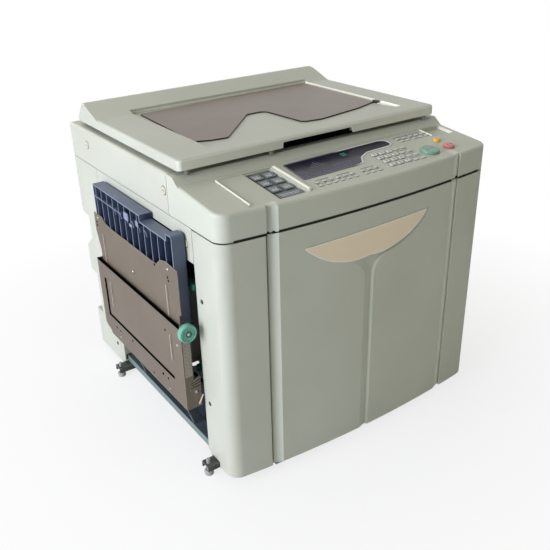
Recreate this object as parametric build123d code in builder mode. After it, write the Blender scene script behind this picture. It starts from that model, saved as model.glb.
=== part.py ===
import os
from math import atan2, cos, degrees, radians, sin, tan

from build123d import *

os.makedirs("parts", exist_ok=True)

# Digital duplicator with a hinged original cover, a hinged front door and two folding paper trays.
# X runs to the operator's right, Y to the back and Z up. The origin is on the floor, under the
# middle of the machine. Every length is in millimetres.

# Body
body_width = 644
body_depth = 650  # back face to the two front corners
front_bulge = 20  # how far the middle of the bowed front stands before its corners
shell_wall = 3
corner_radius = 27
seam_gap = 1.2  # visible gap between neighbouring covers
front_gap = 3  # shadow gap under the control panel and beside the door

# Heights above the floor
shell_floor_z = 18
seam_z = 520  # seam between the lower covers and the scanner with its control panel
panel_front_z = 570
panel_back_z = 584.5
deck_z = 597.5

# Depths from the front corners
column_depth = 91
panel_depth = 133.5  # back edge of the sloped control panel
riser_depth = 16.5  # slope from the panel up to the deck
panel_unit_depth = 173
left_opening_depth = 500  # back edge of the feed opening
side_cover_depth = 519  # back edge of the side covers

# Flutes of the bowed front
flute_depth = 6
flute_width = 23
flute_offset = 90  # from each side to the flute's steep wall
column_edge_radius = 4

# Frame and feet
channel_height = 13
channel_width = 25
channel_reach = 26  # how far each foot channel stands out of the body
channel_z = 15
sheet_steel = 2
base_height = 16
front_foot_depth = 63.5
rear_foot_depth = 491
foot_inset = 8  # stem behind the channel's end
foot_cap_radius = 9.5
foot_stem_radius = 4
pin_clearance = 0.05

left = -body_width / 2
right = body_width / 2
front = -(body_depth + front_bulge) / 2 + front_bulge
back = front + body_depth
half_width = body_width / 2

column_back = front + column_depth
panel_back = front + panel_depth
deck_front = panel_back + riser_depth
unit_back = front + panel_unit_depth
side_back = front + side_cover_depth
opening_back = front + left_opening_depth
door_left = left + flute_offset + front_gap - 0.5
base_top_z = channel_z + channel_height + base_height
panel_slope = degrees(atan2(panel_back_z - panel_front_z, panel_depth))


def save(part, name):
    part.label = name
    export_step(part, f"parts/{name}.step")


def skin_y(x, inset=0):
    """Y of the bowed front at x, or of a surface that runs inset behind it."""
    return front + inset - front_bulge * (1 - (x / half_width) ** 2)


def skin_arc(x0, x1, inset=0):
    """Arc of the bowed front from x0 to x1."""
    middle = (x0 + x1) / 2
    return ThreePointArc(
        (x0, skin_y(x0, inset)), (middle, skin_y(middle, inset)), (x1, skin_y(x1, inset))
    )


def bowed_slab(x0, x1, y_back, inset, left_radius=0, right_radius=0):
    """Plan outline between the bowed surface at this inset and a straight back."""
    with BuildSketch(mode=Mode.PRIVATE) as plan:
        with BuildLine():
            skin_arc(x0, x1, inset)
            Polyline((x1, skin_y(x1, inset)), (x1, y_back), (x0, y_back), (x0, skin_y(x0, inset)))
        make_face()
        front_vertices = plan.vertices().sort_by(Axis.Y)[:2].sort_by(Axis.X)
        if left_radius:
            fillet(front_vertices[0], left_radius)
        if right_radius:
            fillet(plan.vertices().sort_by(Axis.Y)[:2].sort_by(Axis.X)[-1], right_radius)
    return plan.sketch


def flute_cutter(side):
    """Plan outline of the flute at the left (side -1) or right (side 1) of the front."""
    steep = side * (half_width - flute_offset)
    shallow = side * (half_width - flute_offset - flute_width)
    with BuildSketch(mode=Mode.PRIVATE) as plan:
        with BuildLine():
            Line((steep, skin_y(steep) - 2), (steep, skin_y(steep, flute_depth)))
            middle = (steep * 2 + shallow) / 3
            ThreePointArc(
                (steep, skin_y(steep, flute_depth)),
                (middle, skin_y(middle, flute_depth * 0.72)),
                (shallow, skin_y(shallow)),
            )
            Polyline(
                (shallow, skin_y(shallow)),
                (shallow, skin_y(shallow) - 2),
                (steep, skin_y(steep) - 2),
            )
        make_face()
    return plan.sketch


def yz_plane(x):
    """Plane across the machine at x: its sketches read (y, z) and it faces right."""
    return Plane(origin=(x, 0, 0), x_dir=(0, 1, 0), z_dir=(1, 0, 0))


def xz_plane(y):
    """Upright plane along the machine at y: its sketches read (x, z) and it faces the back."""
    return Plane(origin=(0, y, 0), x_dir=(-1, 0, 0), z_dir=(0, 1, 0))


def front_plane(y):
    """Upright plane at y that faces the operator: its sketches read (x, z)."""
    return Plane(origin=(0, y, 0), x_dir=(1, 0, 0), z_dir=(0, -1, 0))


def block(x0, x1, y0, y1, z0, z1, mode=Mode.ADD):
    """Straight block between these limits, inside the open part."""
    with Locations(((x0 + x1) / 2, (y0 + y1) / 2, (z0 + z1) / 2)):
        Box(x1 - x0, y1 - y0, z1 - z0, mode=mode)


# Base pan, foot channels and levelling feet

base_z = channel_z + channel_height
base_left = left + 8
base_right = right - 8
base_front = front + 36
base_back = back - 60
foot_ys = (front + front_foot_depth, front + rear_foot_depth)
foot_xs = (left - channel_reach + foot_inset, right + channel_reach - foot_inset)

with BuildPart() as base_pan:
    block(base_left, base_right, base_front, base_back, base_z, base_top_z)
    block(
        base_left + sheet_steel,
        base_right - sheet_steel,
        base_front + sheet_steel,
        base_back - sheet_steel,
        base_z,
        base_top_z - sheet_steel,
        Mode.SUBTRACT,
    )
    with Locations(*[(x, y, base_top_z) for x in (-200, 0, 200) for y in (-100, 60)]):
        Cylinder(14, 4 * sheet_steel, mode=Mode.SUBTRACT)
save(base_pan.part, "base_pan")

with BuildPart() as foot_channels:
    for foot_y in foot_ys:
        block(
            left - channel_reach,
            right + channel_reach,
            foot_y - channel_width / 2,
            foot_y + channel_width / 2,
            channel_z,
            base_z,
        )
        block(
            left - channel_reach,
            right + channel_reach,
            foot_y - channel_width / 2 + 2.5,
            foot_y + channel_width / 2 - 2.5,
            channel_z,
            base_z - 2.5,
            Mode.SUBTRACT,
        )
    with Locations(*[(x, y, base_z) for x in foot_xs for y in foot_ys]):
        Cylinder(foot_stem_radius + pin_clearance, 20, mode=Mode.SUBTRACT)
save(foot_channels.part, "foot_channels")

foot_names = {
    "foot_front_left": (foot_xs[0], foot_ys[0]),
    "foot_front_right": (foot_xs[1], foot_ys[0]),
    "foot_rear_left": (foot_xs[0], foot_ys[1]),
    "foot_rear_right": (foot_xs[1], foot_ys[1]),
}
foot_shoulder_z = base_z - 2.5 - 0.3
for foot_name, (foot_x, foot_y) in foot_names.items():
    with BuildPart() as foot:
        with BuildSketch(Plane(origin=(foot_x, foot_y, 0), x_dir=(1, 0, 0), z_dir=(0, -1, 0))):
            with BuildLine():
                Polyline((0, 0), (foot_cap_radius - 2.5, 0))
                ThreePointArc(
                    (foot_cap_radius - 2.5, 0),
                    (foot_cap_radius - 0.7, 0.7),
                    (foot_cap_radius, 2.5),
                )
                Polyline(
                    (foot_cap_radius, 2.5),
                    (foot_cap_radius, 9),
                    (foot_cap_radius - 2, 11),
                    (foot_stem_radius, 11),
                    (foot_stem_radius, foot_shoulder_z - 5),
                    (foot_stem_radius + 2.5, foot_shoulder_z - 5),
                    (foot_stem_radius + 2.5, foot_shoulder_z),
                    (foot_stem_radius, foot_shoulder_z),
                    (foot_stem_radius, base_z + 9),
                    (foot_stem_radius - 1, base_z + 10),
                    (0, base_z + 10),
                    (0, 0),
                )
            make_face()
        revolve(axis=Axis((foot_x, foot_y, 0), (0, 0, 1)))
    save(foot.part, foot_name)

# Inner frame: two upright steel plates, with everything that turns carried between them

drum_x = 30
drum_z = 330
drum_radius = 105
drum_length = 330
roller_radius = 28
plate_front = column_back + 8
plate_back = plate_front + 395
plate_thick = 3
shaft_radius = 8
drum_hub_radius = 80
drum_rim = 12
drum_door_radius = drum_radius + 8
pressure_z = drum_z - drum_radius - roller_radius - 0.6
plate_left = left + 60
plate_right = right - 14
plate_top = seam_z - 30

pickup_x = plate_left + 55
pickup_z = 418
pickup_radius = 19


def frame_plate(y, drum_hole):
    """One side plate of the print unit, with its bearing holes."""
    with BuildSketch(xz_plane(y)) as outline:
        with Locations((-(plate_left + plate_right) / 2, (base_top_z + plate_top) / 2)):
            Rectangle(plate_right - plate_left, plate_top - base_top_z)
        fillet(outline.vertices(), 12)
        with Locations((-drum_x, drum_z)):
            Circle(drum_hole, mode=Mode.SUBTRACT)
        with Locations((-drum_x, pressure_z), (-pickup_x, pickup_z)):
            Circle(shaft_radius + pin_clearance, mode=Mode.SUBTRACT)
    extrude(outline.sketch, amount=plate_thick)


with BuildPart() as rear_plate:
    frame_plate(plate_back, shaft_radius + pin_clearance)
    with BuildSketch(xz_plane(plate_back)):
        with Locations((-(plate_left + 90), 200), (-(plate_right - 110), 250)):
            RectangleRounded(90, 60, 10)
    extrude(amount=plate_thick, mode=Mode.SUBTRACT)
save(rear_plate.part, "rear_frame_plate")

with BuildPart() as front_plate:
    frame_plate(plate_front - plate_thick, drum_door_radius)
    with BuildSketch(xz_plane(plate_front - plate_thick)):
        with Locations((-(plate_left + 90), 200), (-(plate_right - 110), 250)):
            RectangleRounded(90, 60, 10)
    extrude(amount=plate_thick, mode=Mode.SUBTRACT)
    for tie_x, tie_z in ((plate_left + 20, 70), (plate_right - 20, 70), (plate_left + 20, plate_top - 25)):
        with BuildSketch(xz_plane(plate_front)):
            with Locations((-tie_x, tie_z)):
                Circle(7)
        extrude(amount=plate_back - plate_front)
save(front_plate.part, "front_frame_plate")

drum_front = plate_front + 30

with BuildPart() as print_drum:
    with BuildSketch(xz_plane(drum_front)):
        with Locations((-drum_x, drum_z)):
            Circle(drum_radius)
            Circle(drum_radius - 4, mode=Mode.SUBTRACT)
    extrude(amount=drum_length)
    with BuildSketch(xz_plane(drum_front)):
        with Locations((-drum_x, drum_z)):
            Circle(drum_radius - 2)
            Circle(drum_hub_radius + pin_clearance, mode=Mode.SUBTRACT)
    extrude(amount=drum_rim)
    with BuildSketch(xz_plane(drum_front + drum_length - drum_rim)):
        with Locations((-drum_x, drum_z)):
            Circle(drum_radius - 2)
            Circle(drum_hub_radius, mode=Mode.SUBTRACT)
            Circle(26)
            with PolarLocations(drum_hub_radius / 2 + 10, 5):
                Rectangle(drum_hub_radius - 10, 14)
    extrude(amount=drum_rim)
    with BuildSketch(xz_plane(drum_front + drum_length - drum_rim)):
        with Locations((-drum_x, drum_z)):
            Circle(shaft_radius)
    extrude(amount=plate_back + plate_thick + 10 - drum_front - drum_length + drum_rim)
save(print_drum.part, "print_drum")

carrier_radius = drum_door_radius + 6
bottle_radius = 40
with BuildPart() as drum_carrier:
    with BuildSketch(xz_plane(drum_front - 4)):
        with Locations((-drum_x, drum_z)):
            Circle(drum_hub_radius)
            Circle(bottle_radius, mode=Mode.SUBTRACT)
    extrude(amount=drum_rim + 2)
    with BuildSketch(xz_plane(plate_front - plate_thick - 6)):
        with Locations((-drum_x, drum_z)):
            Circle(carrier_radius)
            Circle(bottle_radius, mode=Mode.SUBTRACT)
    extrude(amount=6)
    with BuildSketch(xz_plane(plate_front - plate_thick)):
        with Locations((-drum_x, drum_z)):
            with PolarLocations(61, 4, start_angle=45):
                Circle(9)
    extrude(amount=drum_front - plate_front + plate_thick)
    # Pull handle below the bottle opening
    with BuildSketch(xz_plane(plate_front - plate_thick - 30)):
        with Locations((-drum_x, drum_z - 66)):
            SlotOverall(110, 18)
    extrude(amount=10)
    with BuildSketch(xz_plane(plate_front - plate_thick - 21)):
        with Locations((-drum_x - 44, drum_z - 66), (-drum_x + 44, drum_z - 66)):
            Circle(7)
    extrude(amount=16)
save(drum_carrier.part, "drum_carrier")


def roller(x, z, radius):
    """Rubber roller with its steel shaft, running in both frame plates."""
    with BuildSketch(xz_plane(plate_front + 22)) as tyre:
        with Locations((-x, z)):
            Circle(radius)
    extrude(tyre.sketch, amount=plate_back - plate_front - 44)
    with BuildSketch(xz_plane(plate_front - plate_thick - 8)) as shaft:
        with Locations((-x, z)):
            Circle(shaft_radius)
    extrude(shaft.sketch, amount=plate_back - plate_front + 2 * plate_thick + 16)


with BuildPart() as pressure_roller:
    roller(drum_x, pressure_z, roller_radius)
save(pressure_roller.part, "pressure_roller")

with BuildPart() as pickup_roller:
    with BuildSketch(xz_plane(plate_front - plate_thick - 8)):
        with Locations((-pickup_x, pickup_z)):
            Circle(shaft_radius)
    extrude(amount=plate_back - plate_front + 2 * plate_thick + 16)
    for tyre_y in (plate_front + 90, (plate_front + plate_back) / 2 - 15, plate_back - 120):
        with BuildSketch(xz_plane(tyre_y)):
            with Locations((-pickup_x, pickup_z)):
                Circle(pickup_radius)
        extrude(amount=30)
save(pickup_roller.part, "pickup_roller")

# Left front column cover

with BuildPart() as column_cover:
    with BuildSketch(Plane.XY.offset(shell_floor_z)):
        add(bowed_slab(left, left + flute_offset, column_back, 0, corner_radius, column_edge_radius))
    extrude(amount=seam_z - front_gap - shell_floor_z)
    with BuildSketch(Plane.XY.offset(shell_floor_z)):
        add(
            bowed_slab(
                left + shell_wall,
                left + flute_offset - shell_wall,
                column_back,
                shell_wall,
                corner_radius - shell_wall,
            )
        )
    extrude(amount=seam_z - front_gap - shell_floor_z, mode=Mode.SUBTRACT)
    block(
        left - 1,
        left + shell_wall + 1,
        foot_ys[0] - channel_width / 2 - 2,
        foot_ys[0] + channel_width / 2 + 2,
        shell_floor_z - 1,
        base_z + 2,
        Mode.SUBTRACT,
    )
    block(
        left + flute_offset - shell_wall - 1,
        left + flute_offset + 1,
        base_front - 1,
        column_back + 1,
        shell_floor_z - 1,
        base_top_z + 0.5,
        Mode.SUBTRACT,
    )
    with BuildSketch(yz_plane(left - 1)):
        with BuildLine():
            Polyline(
                (column_back + 1, shell_floor_z - 1),
                (column_back + 1, shell_floor_z + 20),
                (column_back - 22, shell_floor_z - 1),
                close=True,
            )
        make_face()
    extrude(amount=shell_wall + 2, mode=Mode.SUBTRACT)
save(column_cover.part, "column_cover")

# Left side cover around the feed opening

opening_top_z = 491
opening_front_top_z = 451
opening_step_depth = 62  # the lower part of the opening's upper edge, behind the column
cover_front = column_back + seam_gap

with BuildPart() as left_cover:
    with BuildSketch(yz_plane(left)):
        with BuildLine():
            Polyline(
                (cover_front, seam_z - seam_gap),
                (side_back, seam_z - seam_gap),
                (side_back, shell_floor_z),
                (opening_back, shell_floor_z),
                (opening_back, opening_top_z),
                (cover_front + opening_step_depth, opening_top_z),
                (cover_front + opening_step_depth - 14, opening_front_top_z),
                (cover_front, opening_front_top_z),
                close=True,
            )
        make_face()
    extrude(amount=shell_wall)
    with BuildSketch(yz_plane(left + shell_wall)):
        with BuildLine():
            Polyline(
                (opening_back, shell_floor_z + 30),
                (opening_back, opening_top_z),
                (cover_front + opening_step_depth, opening_top_z),
                (cover_front + opening_step_depth, opening_top_z + shell_wall),
                (opening_back + shell_wall, opening_top_z + shell_wall),
                (opening_back + shell_wall, shell_floor_z + 30),
                close=True,
            )
        make_face()
    extrude(amount=18)
    block(
        left - 1,
        left + 22,
        foot_ys[1] - channel_width / 2 - 2,
        foot_ys[1] + channel_width / 2 + 2,
        shell_floor_z - 1,
        base_z + 2,
        Mode.SUBTRACT,
    )
save(left_cover.part, "left_side_cover")

# Back cover, stepped in behind for hand holds, with the power inlet's well

grip_depth = 35
inlet_x = 150
inlet_z = 75
inlet_width = 50
inlet_height = 28


def back_outline(inset):
    """Side outline of the back cover, drawn in by inset from its outer face."""
    deep = back - grip_depth - inset
    full = back - inset
    Polyline(
        (side_back + seam_gap, shell_floor_z + inset),
        (full, shell_floor_z + inset),
        (full, 117 - inset),
        (deep, 117 - inset),
        (deep, 226 + inset),
        (full, 226 + inset),
        (full, 293 - inset / 2),
        (deep, 322 - inset / 2),
        (deep, 379 + inset),
        (full, 383 + inset),
        (full, seam_z - seam_gap - inset),
        (side_back + seam_gap, seam_z - seam_gap - inset),
        close=True,
    )


with BuildPart() as back_cover:
    with BuildSketch(yz_plane(left)):
        with BuildLine():
            back_outline(0)
        make_face()
    extrude(amount=body_width)
    with BuildSketch(yz_plane(left + shell_wall)):
        with BuildLine():
            back_outline(shell_wall)
        make_face()
    extrude(amount=body_width - 2 * shell_wall, mode=Mode.SUBTRACT)
    with BuildSketch(xz_plane(back - 6)):
        with Locations((-inlet_x, inlet_z)):
            Rectangle(inlet_width + 0.6, inlet_height + 0.6)
    extrude(amount=10, mode=Mode.SUBTRACT)
    with BuildSketch(xz_plane(back - 6)):
        with Locations((140, 455)):
            with GridLocations(14, 1, 12, 1):
                SlotOverall(60, 5, rotation=90)
    extrude(amount=10, mode=Mode.SUBTRACT)
save(back_cover.part, "back_cover")

with BuildPart() as power_inlet:
    block(
        inlet_x - inlet_width / 2,
        inlet_x + inlet_width / 2,
        back - 25,
        back - 0.5,
        inlet_z - inlet_height / 2,
        inlet_z + inlet_height / 2,
    )
    with BuildSketch(xz_plane(back - 18)):
        with Locations((-inlet_x, inlet_z)):
            RectangleRounded(26, 18, 3)
            with Locations((-7, 0), (0, 4), (7, 0)):
                Rectangle(1.6, 6, mode=Mode.SUBTRACT)
    extrude(amount=30, mode=Mode.SUBTRACT)
save(power_inlet.part, "power_inlet")

# Right side cover with the paper exit and the power switch

exit_low_z = 250
exit_high_z = 420
exit_front = front + 120
exit_back = front + 460
switch_y = front + 112
switch_z = 90
switch_width = 22
switch_height = 30
right_cover_front = front + corner_radius + seam_gap

with BuildPart() as right_cover:
    with BuildSketch(yz_plane(right - shell_wall)):
        with BuildLine():
            Polyline(
                (right_cover_front, shell_floor_z),
                (right_cover_front, seam_z - seam_gap),
                (side_back, seam_z - seam_gap),
                (side_back, shell_floor_z),
                close=True,
            )
        make_face()
        with Locations(((exit_front + exit_back) / 2, (exit_low_z + exit_high_z) / 2)):
            Rectangle(exit_back - exit_front, exit_high_z - exit_low_z, mode=Mode.SUBTRACT)
        with Locations((switch_y, switch_z)):
            Rectangle(switch_width + 1, switch_height + 1, mode=Mode.SUBTRACT)
        for channel_y in foot_ys:
            with Locations((channel_y, shell_floor_z)):
                Rectangle(channel_width + 4, 2 * (base_z + 2 - shell_floor_z), mode=Mode.SUBTRACT)
    extrude(amount=shell_wall)
save(right_cover.part, "right_side_cover")

with BuildPart() as power_switch:
    with BuildSketch(front_plane(switch_y + switch_width / 2 - 0.2)):
        with BuildLine():
            Polyline(
                (right - 8, switch_z - switch_height / 2 + 2),
                (right + 3.5, switch_z - switch_height / 2 + 1),
                (right + 0.2, switch_z),
                (right + 0.8, switch_z + switch_height / 2 - 1.5),
                (right - 8, switch_z + switch_height / 2 - 3),
                close=True,
            )
        make_face()
    extrude(amount=switch_width - 0.4)
    with BuildSketch(xz_plane(switch_y - switch_width / 2 - 3)):
        with Locations((8 - right, switch_z)):
            Circle(3)
    extrude(amount=switch_width + 6)
save(power_switch.part, "power_switch")

# Scanner housing: the deck with the exposure glass, open below, with the carriage inside

glass_width = 440
glass_length = 306
glass_thick = 4
glass_x = 0
glass_front = deck_front + 42
glass_ledge = 8
scanner_wall = 3
glass_y = glass_front + glass_length / 2

with BuildPart() as scanner_housing:
    block(left, right, unit_back + seam_gap, back, seam_z, deck_z)
    top_edges = scanner_housing.edges().group_by(Axis.Z)[-1]
    side_edges = top_edges.filter_by(Axis.Y) + top_edges.sort_by(Axis.Y)[-1:]
    fillet(side_edges, 6)
    block(
        left + scanner_wall,
        right - scanner_wall,
        unit_back + seam_gap - 1,
        back - scanner_wall,
        seam_z - 1,
        deck_z - scanner_wall,
        Mode.SUBTRACT,
    )
    block(
        glass_x - glass_width / 2 - 0.5,
        glass_x + glass_width / 2 + 0.5,
        glass_front - 0.5,
        glass_front + glass_length + 0.5,
        deck_z - scanner_wall - 1,
        deck_z + 1,
        Mode.SUBTRACT,
    )
    with BuildSketch(Plane.XY.offset(deck_z - glass_thick)):
        with Locations((glass_x, glass_y)):
            Rectangle(glass_width + 12, glass_length + 12)
            Rectangle(
                glass_width - 2 * glass_ledge, glass_length - 2 * glass_ledge, mode=Mode.SUBTRACT
            )
    extrude(amount=-3)
    with BuildSketch(Plane.XY.offset(deck_z - glass_thick)):
        with Locations((glass_x, glass_y)):
            Rectangle(glass_width + 12, glass_length + 12)
            Rectangle(glass_width + 1, glass_length + 1, mode=Mode.SUBTRACT)
    extrude(amount=glass_thick - scanner_wall + 0.01)
    block(
        left + scanner_wall,
        right - scanner_wall,
        unit_back + seam_gap,
        back - scanner_wall,
        seam_z,
        seam_z + scanner_wall,
    )
    with BuildSketch(Plane.XY.offset(deck_z)):
        with Locations((0, back - 64)):
            Rectangle(body_width + 2, 1)
    extrude(amount=-0.8, mode=Mode.SUBTRACT)
save(scanner_housing.part, "scanner_housing")

with BuildPart() as exposure_glass:
    block(
        glass_x - glass_width / 2,
        glass_x + glass_width / 2,
        glass_front,
        glass_front + glass_length,
        deck_z - glass_thick,
        deck_z,
    )
save(exposure_glass.part, "exposure_glass")

rail_radius = 4
rail_z = seam_z + 32
carriage_travel = 420
carriage_x = left + 60
carriage_front = glass_front - 12
carriage_length = glass_length + 24
rail_y = (glass_front - 6, glass_front + glass_length + 6)

with BuildPart() as scan_rails:
    for y in rail_y:
        with BuildSketch(yz_plane(left + scanner_wall)):
            with Locations((y, rail_z)):
                Circle(rail_radius)
        extrude(amount=body_width - 2 * scanner_wall)
save(scan_rails.part, "scan_rails")

with BuildPart() as scan_carriage:
    with BuildSketch(xz_plane(rail_y[0] - 10)):
        with BuildLine():
            Polyline(
                (-carriage_x + 28, rail_z - 12),
                (-carriage_x + 28, rail_z + 12),
                (-carriage_x + 6, rail_z + 30),
                (-carriage_x - 6, rail_z + 30),
                (-carriage_x - 28, rail_z + 12),
                (-carriage_x - 28, rail_z - 12),
                close=True,
            )
        make_face()
    extrude(amount=rail_y[1] - rail_y[0] + 20)
    with BuildSketch(xz_plane(carriage_front)):
        with Locations((-carriage_x, rail_z + 30)):
            Rectangle(7, 30)
    extrude(amount=carriage_length, mode=Mode.SUBTRACT)
    for y in rail_y:
        with BuildSketch(yz_plane(carriage_x - 40)):
            with Locations((y, rail_z)):
                Circle(rail_radius + pin_clearance)
        extrude(amount=80, mode=Mode.SUBTRACT)
save(scan_carriage.part, "scan_carriage")

# Control panel unit: bowed front with the flutes, sloped top, riser and front strip of the deck

panel_wall = 3
panel_edge_radius = 5
panel_slope_share = tan(radians(panel_slope))
panel_plane = Plane(
    origin=(0, panel_back, panel_back_z),
    x_dir=(1, 0, 0),
    z_dir=(0, -sin(radians(panel_slope)), cos(radians(panel_slope))),
)
panel_skin = 9  # at the ridges of the front; a flute leaves a third of it
hinge_inset = 20
hinge_depth = 5
hinge_boss_radius = 6
door_pin_radius = 3
hinge_x = door_left + hinge_inset
hinge_y = skin_y(door_left, flute_depth) + hinge_depth
pin_socket = 12


def on_panel(x, depth):
    """Panel place from x off the left side and the depth behind the front corners."""
    return (left + x, (depth - panel_depth) / cos(radians(panel_slope)))


def panel_z(depth):
    """Height of the sloped panel's surface at this depth."""
    return panel_back_z - (panel_depth - depth) * panel_slope_share


# The sliding lid with its channel, and the well of the small keys beside it
lid_left = 66
lid_width = 62
lid_thick = 2
lid_travel = 60
sub_left = 129
sub_width = 60
lid_front_depth = 3
lid_back_depth = 122
lid_depth = (lid_front_depth + lid_back_depth) / 2
lid_length = lid_back_depth - lid_front_depth
channel_span = sub_left + sub_width - lid_left
channel_middle = lid_left + channel_span / 2
panel_recess = 2.4
sub_recess = 6
rib_left = 191
rib_width = 6

# Buttons: place, radius or size, and height over the panel
start_place = (508, 30)
stop_place = (559, 28)
reset_place = (561, 63)
start_radius = 19
stop_radius = 11
reset_radius = 7.5
button_height = 6
key_size = (13, 9)
key_height = 2
key_clearance = 0.5
key_flange = 1.5
key_pitch_x = 19
key_pitch_y = 17.5
keypad_left = 397
keypad_front = 16
keypad_columns = 3
keypad_rows = 4

display_pocket = 1.5
display_corners = (
    (213, 117),
    (209, 44),
    (342, 47),
    (355, 51),
    (370, 73),
    (396, 86),
    (456, 89),
    (469, 96),
    (471, 116),
    (454, 124),
)
clip_left = 579
clip_width = 54
clip_front_depth = 82
clip_back_depth = 130
clip_depth = 8


def numeric_places():
    """Panel places of the number keys, row by row from the back."""
    return [
        on_panel(keypad_left + column * key_pitch_x, keypad_front + row * key_pitch_y)
        for row in reversed(range(keypad_rows))
        for column in range(keypad_columns)
    ]


def display_outline(inset=0):
    """Outline of the display window, drawn in by inset."""
    with BuildSketch(mode=Mode.PRIVATE) as outline:
        with BuildLine():
            Polyline(*[on_panel(x, depth) for x, depth in display_corners], close=True)
        make_face()
        fillet(outline.vertices(), 4)
        if inset:
            offset(amount=-inset)
    return outline.sketch


with BuildPart() as panel_cavity:
    with BuildSketch(Plane.XY.offset(seam_z - 1)):
        add(bowed_slab(left + panel_wall, right - panel_wall, unit_back + 1, panel_skin, 18, 18))
    extrude(amount=deck_z - seam_z)
    with BuildSketch(yz_plane(left)):
        with BuildLine():
            Polyline(
                (front - front_bulge, seam_z - 1),
                (front - front_bulge, panel_z(-front_bulge) - panel_wall),
                (panel_back + 1, panel_back_z - panel_wall),
                (deck_front + 1, deck_z - panel_wall),
                (unit_back + 1, deck_z - panel_wall),
                (unit_back + 1, seam_z - 1),
                close=True,
            )
        make_face()
    extrude(amount=body_width, mode=Mode.INTERSECT)

with BuildPart() as control_panel:
    with BuildSketch(Plane.XY.offset(seam_z)):
        add(bowed_slab(left, right, unit_back, 0, corner_radius, corner_radius))
    extrude(amount=deck_z - seam_z)
    with BuildSketch(yz_plane(left - 1)):
        with BuildLine():
            Polyline(
                (front - front_bulge - 5, panel_z(-front_bulge - 5)),
                (panel_back, panel_back_z),
                (deck_front, deck_z),
                (deck_front, deck_z + 5),
                (front - front_bulge - 5, deck_z + 5),
                close=True,
            )
        make_face()
    extrude(amount=body_width + 2, mode=Mode.SUBTRACT)
    top_face = control_panel.faces().filter_by(
        lambda face: face.normal_at().dot(panel_plane.z_dir) > 0.9999
    )[0]
    fillet(top_face.edges().sort_by(Axis.Y)[:-1], panel_edge_radius)
    with BuildSketch(Plane.XY.offset(seam_z)):
        add(flute_cutter(-1))
        add(flute_cutter(1))
    extrude(amount=deck_z - seam_z, mode=Mode.SUBTRACT)
    add(panel_cavity.part, mode=Mode.SUBTRACT)
    # Thicker floor under the sliding lid, its channel and the well of the small keys
    with BuildSketch(panel_plane):
        with Locations(on_panel(channel_middle, lid_depth)):
            Rectangle(channel_span + 8, lid_length + 8)
    extrude(amount=-sub_recess - panel_wall)
    with BuildSketch(panel_plane):
        with Locations(on_panel(channel_middle, lid_depth)):
            Rectangle(channel_span, lid_length)
    extrude(amount=-panel_recess, mode=Mode.SUBTRACT)
    with BuildSketch(panel_plane):
        with Locations(on_panel(sub_left + sub_width / 2, lid_depth)):
            RectangleRounded(sub_width - 4, lid_length - 6, 3)
    extrude(amount=-sub_recess, mode=Mode.SUBTRACT)
    with BuildSketch(panel_plane):
        with Locations(on_panel(rib_left + rib_width / 2, lid_depth)):
            RectangleRounded(rib_width, lid_length, 2)
    extrude(amount=2.5)
    # Pocket for paper clips at the right, display pocket, key holes and hinge socket
    with BuildSketch(panel_plane):
        with Locations(on_panel(clip_left + clip_width / 2, (clip_front_depth + clip_back_depth) / 2)):
            RectangleRounded(clip_width + 8, clip_back_depth - clip_front_depth + 6, 6)
    extrude(amount=-clip_depth - panel_wall)
    with BuildSketch(panel_plane):
        with Locations(on_panel(clip_left + clip_width / 2, (clip_front_depth + clip_back_depth) / 2)):
            RectangleRounded(clip_width, clip_back_depth - clip_front_depth, 5)
    extrude(amount=-clip_depth, mode=Mode.SUBTRACT)
    with BuildSketch(panel_plane):
        add(display_outline())
    extrude(amount=-display_pocket, mode=Mode.SUBTRACT)
    with BuildSketch(panel_plane):
        with Locations(on_panel(*start_place)):
            Circle(start_radius + key_clearance)
        with Locations(on_panel(*stop_place)):
            Circle(stop_radius + key_clearance)
        with Locations(on_panel(*reset_place)):
            Circle(reset_radius + key_clearance)
        with Locations(*numeric_places()):
            RectangleRounded(key_size[0] + 2 * key_clearance, key_size[1] + 2 * key_clearance, 2.5)
    extrude(amount=-panel_wall - 1, mode=Mode.SUBTRACT)
    with Locations((hinge_x, hinge_y, seam_z + pin_socket / 2)):
        Cylinder(hinge_boss_radius, pin_socket)
        Cylinder(door_pin_radius, pin_socket, mode=Mode.SUBTRACT)
save(control_panel.part, "control_panel")

with BuildPart() as display_window:
    with BuildSketch(panel_plane.offset(-display_pocket)):
        add(display_outline(0.3))
    extrude(amount=display_pocket + 0.5)
save(display_window.part, "display_window")

retainer_depth = panel_wall + 0.4
round_buttons = {
    "start_button": (start_place, start_radius),
    "stop_button": (stop_place, stop_radius),
    "reset_button": (reset_place, reset_radius),
}
for button_name, (place, radius) in round_buttons.items():
    with BuildPart() as button:
        with BuildSketch(panel_plane.offset(-retainer_depth)):
            with Locations(on_panel(*place)):
                Circle(radius)
        extrude(amount=retainer_depth + button_height)
        fillet(button.edges().sort_by(Axis.Z)[-1], 2.5)
        with BuildSketch(panel_plane.offset(-retainer_depth)):
            with Locations(on_panel(*place)):
                Circle(radius + key_clearance + key_flange)
        extrude(amount=-1.5)
    save(button.part, button_name)

key_names = ("1", "2", "3", "4", "5", "6", "7", "8", "9", "clear", "0", "times")
for key_name, place in zip(key_names, numeric_places()):
    with BuildPart() as key:
        with BuildSketch(panel_plane.offset(-retainer_depth)):
            with Locations(place):
                RectangleRounded(*key_size, 2)
        extrude(amount=retainer_depth + key_height)
        with BuildSketch(panel_plane.offset(-retainer_depth)):
            with Locations(place):
                Rectangle(key_size[0] + 2 * key_flange + 1, key_size[1] + 2 * key_flange + 1)
        extrude(amount=-1.2)
    save(key.part, f"key_{key_name}")

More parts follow.
